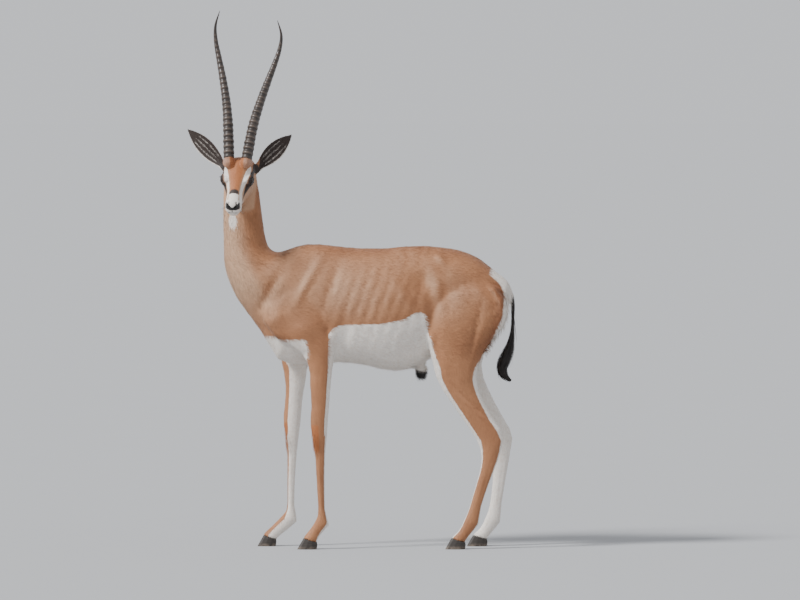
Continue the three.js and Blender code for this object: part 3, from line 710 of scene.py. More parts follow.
def eyeball(name, side):
    bpy.ops.object.select_all(action="DESELECT")
    bpy.ops.mesh.primitive_uv_sphere_add(segments=64, ring_count=40, radius=EYE_RADIUS * MM)
    eye = bpy.context.object
    eye.name = name
    look, forward, up = eye_directions(side)
    local = corners(eye) / MM
    # the ball's own pole becomes the direction it looks in
    places = local[:, 2:3] * look + local[:, 0:1] * forward + local[:, 1:2] * up
    long, high = local[:, 0], local[:, 1]
    front = np.where(local[:, 2] > 0, 0, 50.0)
    iris = IRIS_RADIUS - np.hypot(long, high) - front
    pupil = (1 - np.hypot(long / PUPIL_LENGTH, high / PUPIL_HEIGHT)) * PUPIL_HEIGHT - front
    bulge = BULGE * bell(np.hypot(long, high), BULGE_WIDTH)[:, None] * look * (front == 0)[:, None]
    move_corners(eye, from_head(places * BALL_SHARE + bulge + EYE_PLACE * [side, 1, 1]))
    store(eye, {"iris": iris, "pupil": pupil})
    return shade_smooth(face_outwards(eye))


def lid_ring(name, side):
    """The bare rim round the eye, as a torus bent onto the ball."""
    bpy.ops.object.select_all(action="DESELECT")
    bpy.ops.mesh.primitive_torus_add(major_segments=LID_STEPS, minor_segments=LID_SIDES,
                                     major_radius=1.0, minor_radius=RING_TUBE)
    ring = bpy.context.object
    ring.name = name
    look, forward, up = eye_directions(side)
    t = corners(ring)
    around = np.arctan2(t[:, 1], t[:, 0])
    out, high = (np.hypot(t[:, 0], t[:, 1]) - 1) / RING_TUBE, t[:, 2] / RING_TUBE
    blunt = 2 / ALMOND_POINT
    along = np.sign(np.cos(around)) * np.abs(np.cos(around)) ** blunt * ALMOND_LENGTH
    tall = np.sign(np.sin(around)) * np.abs(np.sin(around)) ** blunt * ALMOND_HEIGHT
    edge = np.hypot(along, tall)
    upper = ramp(np.sin(around), -0.3, 0.8)
    thick = LID_THICK + (UPPER_LID_THICK - LID_THICK) * upper
    reach = edge + LID_WIDTH * (1 + out) * (0.8 + 0.35 * upper)
    level = EYE_RADIUS + 0.35 + high * thick * 0.5 - 1.1 * ramp(out, -0.2, 1)
    slant = reach / (EYE_RADIUS + 1)
    flat = unit(np.stack([along, tall], axis=1))
    sideways = flat[:, 0:1] * forward + flat[:, 1:2] * up
    places = look * (np.cos(slant) * level)[:, None] + sideways * (np.sin(slant) * level)[:, None]
    move_corners(ring, from_head(places + EYE_PLACE * [side, 1, 1]))
    return shade_smooth(face_outwards(ring))


eyes = {name: eyeball(f"eyeball_{name}", side) for name, side in (("left", 1), ("right", -1))}
lids = {name: lid_ring(f"lids_{name}", side) for name, side in (("left", 1), ("right", -1))}
for name in eyes:
    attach(eyes[name], "root")
    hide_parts(f"eye_{name}")
    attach(lids[name], "root")
print("eyes at", [[round(float(v), 3) for v in from_head(EYE_PLACE * [s, 1, 1])] for s in (1, -1)])
# %% [markdown]
# The coat's pattern is what names this animal: a fawn back, a sharp white belly, a white
# rump with a deeper brown edge, white inner legs, and a striped face. The skin and the tufts
# on it must agree, so each marking is a distance in millimetres from its own border, worked
# out at any point and stored as an attribute. The material turns a distance into an edge and
# roughens it with noise.

# %% Borders of the markings
# Side-view outlines of the white, x and z in mm, on the left and the right flank
CHEST_WHITE = {
    "left": [(-420, 628), (-200, 628), (-136, 631), (-127, 600), (-127, 380), (-420, 380)],
    "right": [(-420, 628), (-262, 628), (-222, 618), (-206, 560), (-200, 380), (-420, 380)],
}
BELLY_FRONT = {
    "left": [(-64, 380), (-66, 560), (-63, 645), (-50, 662)],
    "right": [(-120, 380), (-122, 560), (-100, 625), (-70, 655)],
}
# The rest of the belly's edge is the same on both flanks
BELLY_EDGE = [(-33, 672), (40, 675), (90, 676), (162, 690), (192, 708), (212, 712), (222, 700),
              (229, 668), (240, 630), (254, 585), (268, 540), (268, 380)]
RUMP_WHITE = [(416, 822), (436, 808), (451, 790), (459, 765), (460, 744), (453, 692), (428, 639),
              (405, 594), (384, 555), (376, 520), (560, 500), (560, 870), (424, 850)]
INNER_SIDE_Y = 62  # mm from the midplane: between the legs the coat is white
INNER_TOP_Z = [(-400, 636), (-60, 640), (200, 690), (380, 740), (430, 745), (452, 765), (480, 830)]


INNER_LEG_Z = (530, 575)  # where the white of a leg meets that of the trunk
BETWEEN_LEGS_X = (-40, 226)
TAIL_X, TAIL_Z, ALL_WHITE = 478, 560, 40.0
# How far the white of the inner side wraps round a leg
KNEE_TOP_Z, WRAP_ABOVE_KNEE, WRAP_BELOW_KNEE, WRAP_HIND = 340, 1.15, 0.75, 0.45
FORE_WHITE_IN, HIND_WHITE_IN = 2, 2.5


def inside(x, z, outline):
    """Distance into a closed outline, negative outside it."""
    points = np.array(outline, dtype=float)
    here = np.stack([x, z], axis=1)
    closed = np.vstack([points, points[:1]])
    gap = to_line(here, closed)
    crossed = np.zeros(len(x), dtype=bool)
    for (ax, az), (bx, bz) in zip(closed[:-1], closed[1:]):
        if az != bz:
            crossed ^= ((az > z) != (bz > z)) & (x < ax + (z - az) * (bx - ax) / (bz - az))
    return np.where(crossed, gap, -gap)


def leg_white(co):
    """The white of a leg's inner side, wrapping a little round its rear and its front."""
    index, rear, outward = leg_places(co)
    z = co[:, 2] / MM
    wrap = np.where(z > KNEE_TOP_Z, WRAP_ABOVE_KNEE, WRAP_BELOW_KNEE)
    fore = -outward + wrap * rear - FORE_WHITE_IN
    hind = -outward + WRAP_HIND * np.abs(rear) - HIND_WHITE_IN
    return np.where(index < 2, fore, hind)


def body_white(co):
    """Distances into all the white behind the head and into the rump's own."""
    x, y, z = in_drawing(co).T
    rump = inside(x, z, RUMP_WHITE)
    sides = [
        np.maximum(inside(x, z, CHEST_WHITE[side]), inside(x, z, BELLY_FRONT[side] + BELLY_EDGE))
        for side in ("left", "right")
    ]
    xs, tops = np.array(INNER_TOP_Z, dtype=float).T
    between = np.minimum(INNER_SIDE_Y - np.abs(y), np.interp(x, xs, tops) - z)
    upper = np.maximum(np.maximum(np.where(y < 0, *sides), between), rump)
    leg = 1 - ramp(z, *INNER_LEG_Z)
    first, last = BETWEEN_LEGS_X
    trunk = ((x > first) & (x < last)) | (z > INNER_LEG_Z[1])
    low = np.where(trunk, upper, leg_white(co) * leg + upper * (1 - leg))
    return np.where((x > TAIL_X) & (z > TAIL_Z), ALL_WHITE, low), rump


# Stripes of the face, left side, from the horn down, with half widths; all in the head, mm
WHITE_STRIPE = [((38, -72, 50), 9), ((38, -96, 40), 8.5), ((30, -124, 33), 7), ((24.5, -148, 19), 7),
                ((21.5, -172, 8), 7.5), ((20.5, -196, -3), 9), ((17, -216, -12), 11)]
# The dark stripe through the eye is the coat's own, widened round the eye and over the brow with painted
# shade.
EYE_STRIPE_AND_SHADE = [((50, -86, 18), 9), ((46, -104, 20), 13), ((41, -122, 14), 18.5), ((35, -140, 3), 10),
              ((30, -160, -8), 6), ((27, -182, -15), 4), ((24, -196, -21), 2.5)]
# The dark by the ear base and brow is partly the coat's own and partly painted shade.
EAR_BASE_DARK_AND_SHADE = [((46, -44, 0), 16), ((50, -62, 12), 13), ((51, -84, 20), 10)]
# Places along the forehead from the back to the nose, with half widths
FOREHEAD = [(0, -20), (-36, 0), (-62, 22), (-88, 22), (-118, 19), (-140, 15), (-160, 13), (-180, 12)]
FOREHEAD_END_Y = -173
NOSE_SPOT = ((0, -180, 18), (16.5, 10.5, 12))  # place and half sizes
BRIDGE_WHITE_Y, BRIDGE_HALF_WIDTH, BRIDGE_LOW_Z = -185, 15, -20
CHIN_WHITE_Z, CHIN_WHITE_Y, CHIN_TIP_Y, CHIN_SLANT = -27, -172, -230, 0.18
JAW_HALF_WIDTH, JAW_WHITE_Y, JAW_WHITE_Z = 13, -90, -40  # under the jaw
LIP_WHITE_Y = -203
THROAT_WHITE = ((-352, -66, 984), (15, 45, 26))  # place in the drawing and half sizes
# The nose pad: lower edge, upper edge on the midline, its rise to each side, half width
PAD_LOW, PAD_TOP, PAD_RISE, PAD_HALF_WIDTH, PAD_Y = -13.0, -3.0, 0.5, 21.5, -208
PAD_DIP = 4  # half width of the level stretch of the upper edge
NOSTRIL_BLACK, MOUTH_BLACK, SPLIT_BLACK = 3.2, 2.3, 1.7  # half widths of the black lines


def stripe(points, rows):
    """Distance into a band that follows a line and changes its width along it."""
    best = np.full(len(points), -1e9)
    for ((a, wa), (b, wb)) in zip(rows[:-1], rows[1:]):
        a, b = np.array(a, dtype=float), np.array(b, dtype=float)
        t = np.clip((points - a) @ (b - a) / ((b - a) @ (b - a)), 0, 1)
        gap = np.linalg.norm(points - a - t[:, None] * (b - a), axis=1)
        best = np.maximum(best, wa + (wb - wa) * t - gap)
    return best


def blob(points, place, sizes):
    """Rough distance into an egg."""
    sizes = np.array(sizes, dtype=float)
    return (1 - np.linalg.norm((points - place) / sizes, axis=1)) * sizes.min()


EAR_BASE = np.array([42, -47, -6])
EAR_REACHES = {"left": np.array([99, 58, 111]), "right": np.array([-128, 32, 114])}
EAR_OPENING = np.array([0.3, -1, -0.1])
EAR_HALF_WIDTH = 28
EAR_LEAF = (1.1, 0.85)
# Three white streaks in the cup, in shares of the ear's length and half width
STREAK_FROM, STREAK_TO, STREAK_ACROSS, STREAK_END, STREAK_FAINT = 0.25, 0.75, 0.5, 80, -0.35
RIM_ACROSS, REAR_RIM_ACROSS, RIM_NARROWER = 0.88, 0.95, 2.2
CUP_FROM, CUP_DARK, EAR_TIP_PLACE, EAR_TIP_END = 0.1, 12.0, 0.78, 70
ABSENT = -20.0  # a distance far outside a marking
# Trunk, legs and neck
THROAT_FROM_Z = 900
SHEATH_X, SHEATH_Z, SHEATH_HALF_WIDTH = (186, 232), 536, 22
HOOF_BLACK_Z, FADE = 24, 36
KNEE_FRONT, KNEE_MIDDLE_Z, KNEE_HALF_HEIGHT, BELOW_TRUNK_Z = 2, 335, 38, 420
RUMP_EDGE, RUMP_EDGE_WIDTH, RUMP_EDGE_Z, RUMP_FROM_X, RUMP_TO_Z = 9, 11, (560, 620), 350, 800
# heights over which the neck's front gets painted light, and where the cheeks turn cream
FRONT_PAINTED_LIGHT_Z, CHEEK_PALE = (640, 800), (-5, 40)
SPINE_FROM_Z, SPINE_TO_Z = (700, 860), (1000, 1100)
HORN_COLLAR, HORN_COLLAR_SHAPE, HORN_COLLAR_WIDTH = (26, -84, 60), (1, 1, 0.8), 24
LEGS_UPRIGHT_Z, NECK_UPRIGHT_Z = (480, 620), (880, 980)


def ear_places(co, no):
    """Place along the ear, place across it from -1 to 1, and whether the cup is there."""
    local = in_head(co)
    left = local[:, 0:1] > 0
    side = np.where(left, 1.0, -1.0) * [1, 0, 0] + [0, 1, 1]
    base = from_head(EAR_BASE * side)
    reach = np.where(left, EAR_REACHES["left"], EAR_REACHES["right"]) @ UPRIGHT_TURN.T * MM
    length = np.linalg.norm(reach, axis=1)
    axis = reach / length[:, None]
    opening = (EAR_OPENING * side) @ UPRIGHT_TURN.T
    opening = unit(opening - axis * np.sum(opening * axis, axis=1)[:, None])
    across = np.cross(axis, opening)
    place = np.sum((co - base) * axis, axis=1) / length
    leaf = np.sin(math.pi * np.clip(place, 0.02, 0.98) ** EAR_LEAF[0]) ** EAR_LEAF[1]
    width = np.maximum(leaf, 0.5 * (1 - place)) * EAR_HALF_WIDTH * MM
    return place, np.sum((co - base) * across, axis=1) / width, np.sum(no * opening, axis=1), axis


def face_markings(twin):
    """Distances into the white, dark, black and rufous of the face. The dark round the eyes and by the
    ear bases is partly painted shade.
    """
    x, y, z = twin.T
    white = np.maximum.reduce([
        stripe(twin, WHITE_STRIPE),
        np.minimum.reduce([BRIDGE_WHITE_Y - y, BRIDGE_HALF_WIDTH - x, z - BRIDGE_LOW_Z]),
        np.minimum(CHIN_WHITE_Z - z + CHIN_SLANT * (y - CHIN_TIP_Y), CHIN_WHITE_Y - y),
        np.minimum.reduce([JAW_HALF_WIDTH - x, JAW_WHITE_Y - y, JAW_WHITE_Z - z]),
        LIP_WHITE_Y - y,
    ])
    dark = np.maximum.reduce([
        stripe(twin, EYE_STRIPE_AND_SHADE), stripe(twin, EAR_BASE_DARK_AND_SHADE), blob(twin, *NOSE_SPOT),
    ])
    pad_top = PAD_TOP + PAD_RISE * np.maximum(x - PAD_DIP, 0)
    black = np.maximum.reduce([
        np.minimum.reduce([z - PAD_LOW, pad_top - z, PAD_HALF_WIDTH - x, PAD_Y - y]),
        NOSTRIL_BLACK - to_line(twin, NOSTRIL_LINE),
        MOUTH_BLACK - to_line(twin, MOUTH_LINE),
        SPLIT_BLACK - to_line(twin, SPLIT_LINE),
    ])
    ys, widths = np.array(FOREHEAD[::-1], dtype=float).T
    rufous = np.minimum(np.interp(y, ys, widths) - x, y - FOREHEAD_END_Y)
    return white, dark, black, rufous


def ear_markings(co, no):
    """Distances into the white and the dark of the ears."""
    place, across, cup, _ = ear_places(co, no)
    wide = np.abs(across)
    ends = np.minimum(place - STREAK_FROM, STREAK_TO - place) * STREAK_END
    streaks = 1.0 - np.minimum(np.abs(wide - STREAK_ACROSS), wide) * EAR_HALF_WIDTH
    streaks = np.minimum(np.minimum(streaks, ends), STREAK_FAINT)
    rim = (wide - RIM_ACROSS) * EAR_HALF_WIDTH
    outer = across * np.sign(in_head(co)[:, 0]) > 0
    white = np.maximum(np.where(outer, rim, rim - RIM_NARROWER), streaks)
    white = np.where(cup > CUP_FROM, white, (wide - REAR_RIM_ACROSS) * EAR_HALF_WIDTH)
    return white, np.where(cup > CUP_FROM, CUP_DARK, (place - EAR_TIP_PLACE) * EAR_TIP_END)


def body_markings(co):
    """Distances into the white, black and rufous of neck, trunk and legs, and how near a
    point is to the edge of the white rump, from 0 to 1."""
    x, y, z = in_drawing(co).T
    white, rump = body_white(co)
    white = np.where(z > THROAT_FROM_Z, blob(in_drawing(co), *THROAT_WHITE), white)
    low_x, high_x = SHEATH_X
    sheath = np.minimum.reduce([x - low_x, high_x - x, SHEATH_Z - z, SHEATH_HALF_WIDTH - np.abs(y)])
    black = np.maximum(sheath, np.where(z < HOOF_BLACK_Z + FADE, HOOF_BLACK_Z - z, ABSENT))
    index, rear, _ = leg_places(co)
    knee = np.minimum(-rear - KNEE_FRONT, KNEE_HALF_HEIGHT - np.abs(z - KNEE_MIDDLE_Z))
    rufous = np.where((index < 2) & (z < BELOW_TRUNK_Z), knee, ABSENT)
    edge = bell(rump + RUMP_EDGE, RUMP_EDGE_WIDTH) * ramp(z, *RUMP_EDGE_Z)
    return white, np.maximum(black, ABSENT), rufous, edge * ((x > RUMP_FROM_X) & (z < RUMP_TO_Z))


def markings(co, no):
    """Every field of the coat at points of the skin: distances into each marking in
    millimetres, and soft shares from 0 to 1."""
    x, y, z = in_drawing(co).T
    head, ear = is_head(co), is_ear(co)
    twin = as_left(in_head(co))
    white, black, rufous, edge = body_markings(co)
    face_white, face_dark, face_black, forehead = face_markings(twin)
    ear_white, ear_dark = ear_markings(co, no)
    # each marking on the body, the face and the ears
    borders = {
        "white": (white, face_white, ear_white),
        "dark": (ABSENT, face_dark, ear_dark),
        "black": (black, face_black, ABSENT),
        "rufous": (rufous, forehead, ABSENT),
    }
    fields = {
        key: np.where(ear > 0.5, on_ear, np.where(head > 0.5, on_face, on_body))
        for key, (on_body, on_face, on_ear) in borders.items()
    }
    # soft shares: painted light on the throat and the neck's front, brightest on the side that faces the
    # lamp, cream of the lower cheeks, deeper brown of the spine, pale skin round the horns, and hair
    # that hangs instead of lying level
    face = head * (1 - ear)
    # the neck's front is lighter toward the lamp's side: painted light
    front = ramp(-no[:, 0] - 0.35 * no[:, 1], 0.1, 0.9) * ramp(z, *FRONT_PAINTED_LIGHT_Z) * (1 - head)
    cheek = face * ramp(-twin[:, 2] - 0.25 * twin[:, 1], *CHEEK_PALE)
    spine = ramp(no[:, 2], 0.55, 1.0) * (1 - ramp(z, *SPINE_TO_Z)) * ramp(z, *SPINE_FROM_Z)
    from_horn = np.linalg.norm((twin - HORN_COLLAR) / HORN_COLLAR_SHAPE, axis=1)
    fields["pale"] = np.maximum(0.75 * front, 0.5 * cheek)
    fields["deep"] = np.maximum(spine, 2.4 * edge)
    fields["collar"] = face * bell(from_horn, HORN_COLLAR_WIDTH)
    fields["upright"] = np.maximum(1 - ramp(z, *LEGS_UPRIGHT_Z), ramp(z, *NECK_UPRIGHT_Z))
    return {key: np.clip(values, -50, 50).astype(np.float32) for key, values in fields.items()}


skin_fields = markings(skin_co, skin_no)
skin_fields["tint"] = np.zeros(len(skin_co))
# the skin takes the painted shade of a point a quarter of the way up a tuft
skin_fields["tip"] = np.full(len(skin_co), 0.25)
store(skin, skin_fields)
white_share = float((skin_fields["white"] > 0).mean())
print("share of the skin's vertices that are white", round(white_share, 2))
# %% [markdown]
# A material is a small sum, so it is written as one. The class below wraps a socket and lets
# Python's own signs add Math nodes, and one method adds any other kind of node.

# %% Shader maths
class Wire:
    """A socket of a material that can be added, multiplied and so on."""

    def __init__(self, make, socket):
        self.make, self.socket = make, socket

    def math(self, operation, other, swapped=False):
        values = (other, self) if swapped else (self, other)
        return self.make.node("ShaderNodeMath", {"operation": operation}, {0: values[0], 1: values[1]})

    def __add__(self, other):
        return self.math("ADD", other)

    __radd__ = __add__

    def __sub__(self, other):
        return self.math("SUBTRACT", other)

    def __rsub__(self, other):
        return self.math("SUBTRACT", other, swapped=True)

    def __mul__(self, other):
        return self.math("MULTIPLY", other)

    __rmul__ = __mul__

    def between(self, low, high):
        """Zero below a value, one above another, smooth in between."""
        return self.make.node(
            "ShaderNodeMapRange", {"interpolation_type": "SMOOTHSTEP"},
            {"Value": self, "From Min": low, "From Max": high},
        )


class Material:
    """A node material under construction."""

    def __init__(self, name, constants):
        self.data = bpy.data.materials.new(name)
        self.data.use_nodes = True
        self.tree = self.data.node_tree
        self.shader = self.tree.nodes["Principled BSDF"]
        for key, value in constants.items():
            self.shader.inputs[key].default_value = value

    def node(self, kind, settings=None, inputs=None, output=0):
        made = self.tree.nodes.new(kind)
        for key, value in (settings or {}).items():
            setattr(made, key, value)
        for key, value in (inputs or {}).items():
            self.feed(made.inputs[key], value)
        return Wire(self, made.outputs[output])

    def feed(self, socket, value):
        if isinstance(value, Wire):
            self.tree.links.new(value.socket, socket)
        elif isinstance(value, tuple) and len(value) == 3 and len(socket.default_value) == 4:
            socket.default_value = (*value, 1.0)
        else:
            socket.default_value = value

    def set(self, name, value):
        self.feed(self.shader.inputs[name], value)

    def attribute(self, name):
        return self.node("ShaderNodeAttribute", {"attribute_name": name}, output=2)

    def place(self, scale=(1, 1, 1)):
        """Object coordinates, stretched by a scale."""
        here = self.node("ShaderNodeTexCoord", output=3)
        return self.node("ShaderNodeMapping", {}, {"Vector": here, "Scale": scale})

    def noise(self, scale, detail=3.0, stretch=(1, 1, 1)):
        return self.node(
            "ShaderNodeTexNoise", {}, {"Vector": self.place(stretch), "Scale": scale, "Detail": detail}
        )

    def mix(self, share, first, second, blend="MIX"):
        """A colour that goes from one to another. The numbers are the colour sockets."""
        return self.node(
            "ShaderNodeMix", {"data_type": "RGBA", "blend_type": blend},
            {0: share, 6: first, 7: second}, output=2,
        )

    def bump(self, height, distance, strength=1.0):
        raised = self.node(
            "ShaderNodeBump", {}, {"Height": height, "Distance": distance, "Strength": strength}
        )
        self.set("Normal", raised)

    def dress(self, piece):
        piece.data.materials.clear()
        piece.data.materials.append(self.data)


print("shader helpers ready")

# %% [markdown]
# The coat is short, sleek and slightly glossy. Its fawn is laid first; then each marking is
# mixed in where its distance, roughened by noise, passes zero. Fine noise drawn out along
# the lie of the hair gives strands, lengthwise on the trunk and upright on neck and legs.
# Tufts use the same material, and lighten a little towards their tips: their darker roots are painted
# shade between the tufts.

# %% Coat
FAWN = (0.42, 0.19, 0.088)
DEEP_FAWN = (0.27, 0.105, 0.045)
CREAM = (0.60, 0.40, 0.26)
RUFOUS = (0.40, 0.135, 0.045)
WHITE = (0.82, 0.77, 0.71)
DARK = (0.024, 0.018, 0.017)
BLACK = (0.016, 0.013, 0.012)
COLLAR = (0.42, 0.26, 0.2)


def coat_material():
    m = Material("coat", {"Sheen Weight": 0.08, "Sheen Roughness": 0.45, "Specular IOR Level": 0.35})
    upright = m.attribute("upright")
    level = m.noise(420, 4, (0.16, 1, 1))
    steep = m.noise(420, 4, (1, 1, 0.16))
    strand = level * (1 - upright) + steep * upright
    patch = m.noise(9, 2)
    fine = m.noise(160, 3)
    rough_edge = (fine - 0.5) * 3.0 + (strand - 0.5) * 3.0

    def marking(name, soft=1.6):
        return (m.attribute(name) + rough_edge).between(-soft, soft)

    tone = m.mix((patch.between(0.3, 0.75) * 0.5) + m.attribute("deep") * 0.35, FAWN, DEEP_FAWN)
    # cream on the lower cheeks, and painted light on the neck's front where it faces the lamp
    tone = m.mix(m.attribute("pale"), tone, CREAM)
    tone = m.mix(m.attribute("collar").between(0.15, 0.7) * 0.85, tone, COLLAR)
    tone = m.mix(marking("rufous", 3.0) * 0.9, tone, RUFOUS)
    white = m.mix(fine.between(0.35, 0.8) * 0.25, WHITE, CREAM)
    # the face's dark marks, partly painted shade round the eyes and ear bases
    tone = m.mix(marking("dark", 3.0) * 0.97, tone, DARK)
    tone = m.mix(marking("white"), tone, white)
    tone = m.mix(marking("black"), tone, BLACK)
    # darker tuft roots, and the skin set a quarter of the way up, are painted shade between the tufts
    shade = 0.80 + strand * 0.30 + m.attribute("tint") + m.attribute("tip") * 0.14
    grey = m.node("ShaderNodeCombineColor", {}, {0: shade, 1: shade, 2: shade})
    m.set("Base Color", m.mix(1.0, tone, grey, "MULTIPLY"))
    black = marking("black")
    m.set("Roughness", 0.62 - black * 0.3)
    m.bump(strand * (1 - black * 0.6) + fine * 0.3, 0.6 * MM)
    return m


coat = coat_material()
coat.dress(skin)
print("coat nodes", len(coat.tree.nodes))

# %% [markdown]
# Bare skin round the eye is black and finely creased. The eye itself is dark and wet: a
# brown iris with faint rays, a darker rim and a black level pupil under a clear coat.

# %% Lids and eyes
def lid_material():
    m = Material("lids", {})
    creases = m.noise(700, 4, (1, 1, 2.5))
    m.set("Base Color", m.mix(creases, (0.012, 0.010, 0.009), (0.05, 0.038, 0.032)))
    m.set("Roughness", 0.38 + creases * 0.3)
    m.bump(creases, 0.3 * MM)
    return m


def eye_material():
    m = Material("eye", {
        "Roughness": 0.12, "Coat Weight": 0.35, "Coat Roughness": 0.03, "Specular IOR Level": 0.2,
    })
    rays = m.noise(900, 3)
    iris = m.mix(rays, (0.012, 0.005, 0.002), (0.034, 0.014, 0.005))
    eye = m.mix(m.attribute("iris").between(-0.4, 0.8), (0.006, 0.004, 0.004), iris)
    m.set("Base Color", m.mix(m.attribute("pupil").between(-0.3, 0.3), eye, (0.002, 0.002, 0.003)))
    return m


lid_finish, eye_finish = lid_material(), eye_material()
for name in eyes:
    lid_finish.dress(lids[name])
    eye_finish.dress(eyes[name])
print("eye finish on", len(eyes), "eyes")
# %% [markdown]
# Real hair is laid on as thousands of thin solid tufts. Each short tuft is a flat wedge of
# four faces, rooted just under the skin, that leans back along the lie of the coat. The lie
# is a direction at every point: backwards on the trunk, down neck and legs, from the nose up
# the face, and out along the ears. Tufts are longest on the rump and belly and smallest on
# face and feet, and their corners borrow the skin's own shading so that the coat stays sleek.

# %% The lie of the coat
SEED = 7
TRUNK_RUN = (1.0, 0, -0.28)
CHEST_RUN, RUMP_RUN, NECK_RUN, LEG_RUN = (0.45, 0, -1), (0.25, 0, -1), (0.22, 0, -1), (0.1, 0, -1)
FACE_RUN = (0, 1, 0.12)  # in the head


def leg_share(co):
    """One on the lower legs, zero on the trunk, the belly between the legs included."""
    x, y, z = in_drawing(co).T
    trunk = ((x > -40) & (x < 226) & (np.abs(y) < 64)) | (z > 640)
    return np.where(trunk, 0, 1 - ramp(z, 470, 640))


def lie(co, no):
    """The direction in which the hair runs at points of the skin."""
    x, y, z = in_drawing(co).T
    neck = ramp(z, 840, 960) * (1 - ramp(x, -230, -150))
    chest = (1 - ramp(x, -230, -120)) * (1 - ramp(z, 780, 880))
    rump = ramp(x, 350, 460) * ramp(z, 560, 680)
    run = np.tile(TRUNK_RUN, (len(co), 1))
    ways = ((chest, CHEST_RUN), (rump, RUMP_RUN), (neck, NECK_RUN), (leg_share(co), LEG_RUN))
    for share, way in ways:
        run += share[:, None] * (np.array(way) - run)
    run += is_head(co)[:, None] * (HEAD_TURN @ FACE_RUN - run)
    run += is_ear(co)[:, None] * (ear_places(co, no)[3] - run)
    return unit(run - no * np.sum(run * no, axis=1)[:, None])


print("lie at the withers", lie(np.array([placed(-50, 0, 912)]), np.array([[0, 0, 1.0]])).round(2))

# %% [markdown]
# Roots are spread evenly by area. Each region asks for its own number of tufts to the
# square, and the roots are drawn at even steps along the skin's faces, with a seeded
# shuffle inside each step. Every tuft also gets a tiny patch of a flat map, at the place of
# its root on an unwrap of the skin, so that a texture made from the coat can tell them apart.

# %% Roots
UNWRAP_NAME = "OFBake"
PATCH = 0.003


def unwrap(piece):
    only(piece)
    bpy.ops.object.mode_set(mode="EDIT")
    bpy.ops.mesh.select_all(action="SELECT")
    bpy.ops.uv.smart_project(angle_limit=math.radians(66), island_margin=0.002)
    bpy.ops.object.mode_set(mode="OBJECT")


def skin_triangles(piece):
    """Corner numbers of every triangle of a piece, and the flat map's place of each corner."""
    mesh = piece.data
    mesh.calc_loop_triangles()
    count = len(mesh.loop_triangles)
    verts, loops = np.empty(count * 3, dtype=np.int32), np.empty(count * 3, dtype=np.int32)
    mesh.loop_triangles.foreach_get("vertices", verts)
    mesh.loop_triangles.foreach_get("loops", loops)
    flat = np.empty(len(mesh.loops) * 2, dtype=np.float32)
    mesh.uv_layers.active.data.foreach_get("uv", flat)
    return verts.reshape(-1, 3), flat.reshape(-1, 2)[loops].reshape(-1, 3, 2)


unwrap(skin)
SKIN_FACES, SKIN_FLAT = skin_triangles(skin)
skin.data.uv_layers.remove(skin.data.uv_layers.active)
FACE_CO = skin_co[SKIN_FACES]
FACE_CROSS = np.cross(FACE_CO[:, 1] - FACE_CO[:, 0], FACE_CO[:, 2] - FACE_CO[:, 0])
FACE_AREA = np.linalg.norm(FACE_CROSS, axis=1) / 2
FACE_MIDDLE, FACE_OUT = FACE_CO.mean(axis=1), unit(FACE_CROSS)
print("skin area", round(float(FACE_AREA.sum()), 2), "square metres")


def roots(numbers, draw):
    """Places, directions outwards and flat map places of roots. The numbers are how many
    there are to the square metre at each face of the skin."""
    share = np.cumsum(FACE_AREA * numbers)
    count = int(share[-1] * (1))
    pick = np.searchsorted(share, (np.arange(count) + draw.random(count)) / count * share[-1])
    pick = np.minimum(pick, len(share) - 1)
    u, v = np.sqrt(draw.random(count)), draw.random(count)
    corner = np.stack([1 - u, u * (1 - v), u * v], axis=1)
    place = np.einsum("ij,ijk->ik", corner, FACE_CO[pick])
    outward = unit(np.einsum("ij,ijk->ik", corner, skin_no[SKIN_FACES[pick]]))
    flat = np.einsum("ij,ijk->ik", corner, SKIN_FLAT[pick])
    return place, outward, flat


# %% [markdown]
# One function builds all hair. It takes the points that each tuft passes through, the last
# one its tip, and puts a small triangle at every point but the tip: wide at the root and
# narrower towards the end. Short tufts have a root and a tip only; long hair has joints.

# %% Hair from paths
SPOTS = ((-0.5, 0.0), (0.5, 0.0), (0.0, 0.14))  # corners of a tuft's section, across and out
SHADE_TURN = 0.3


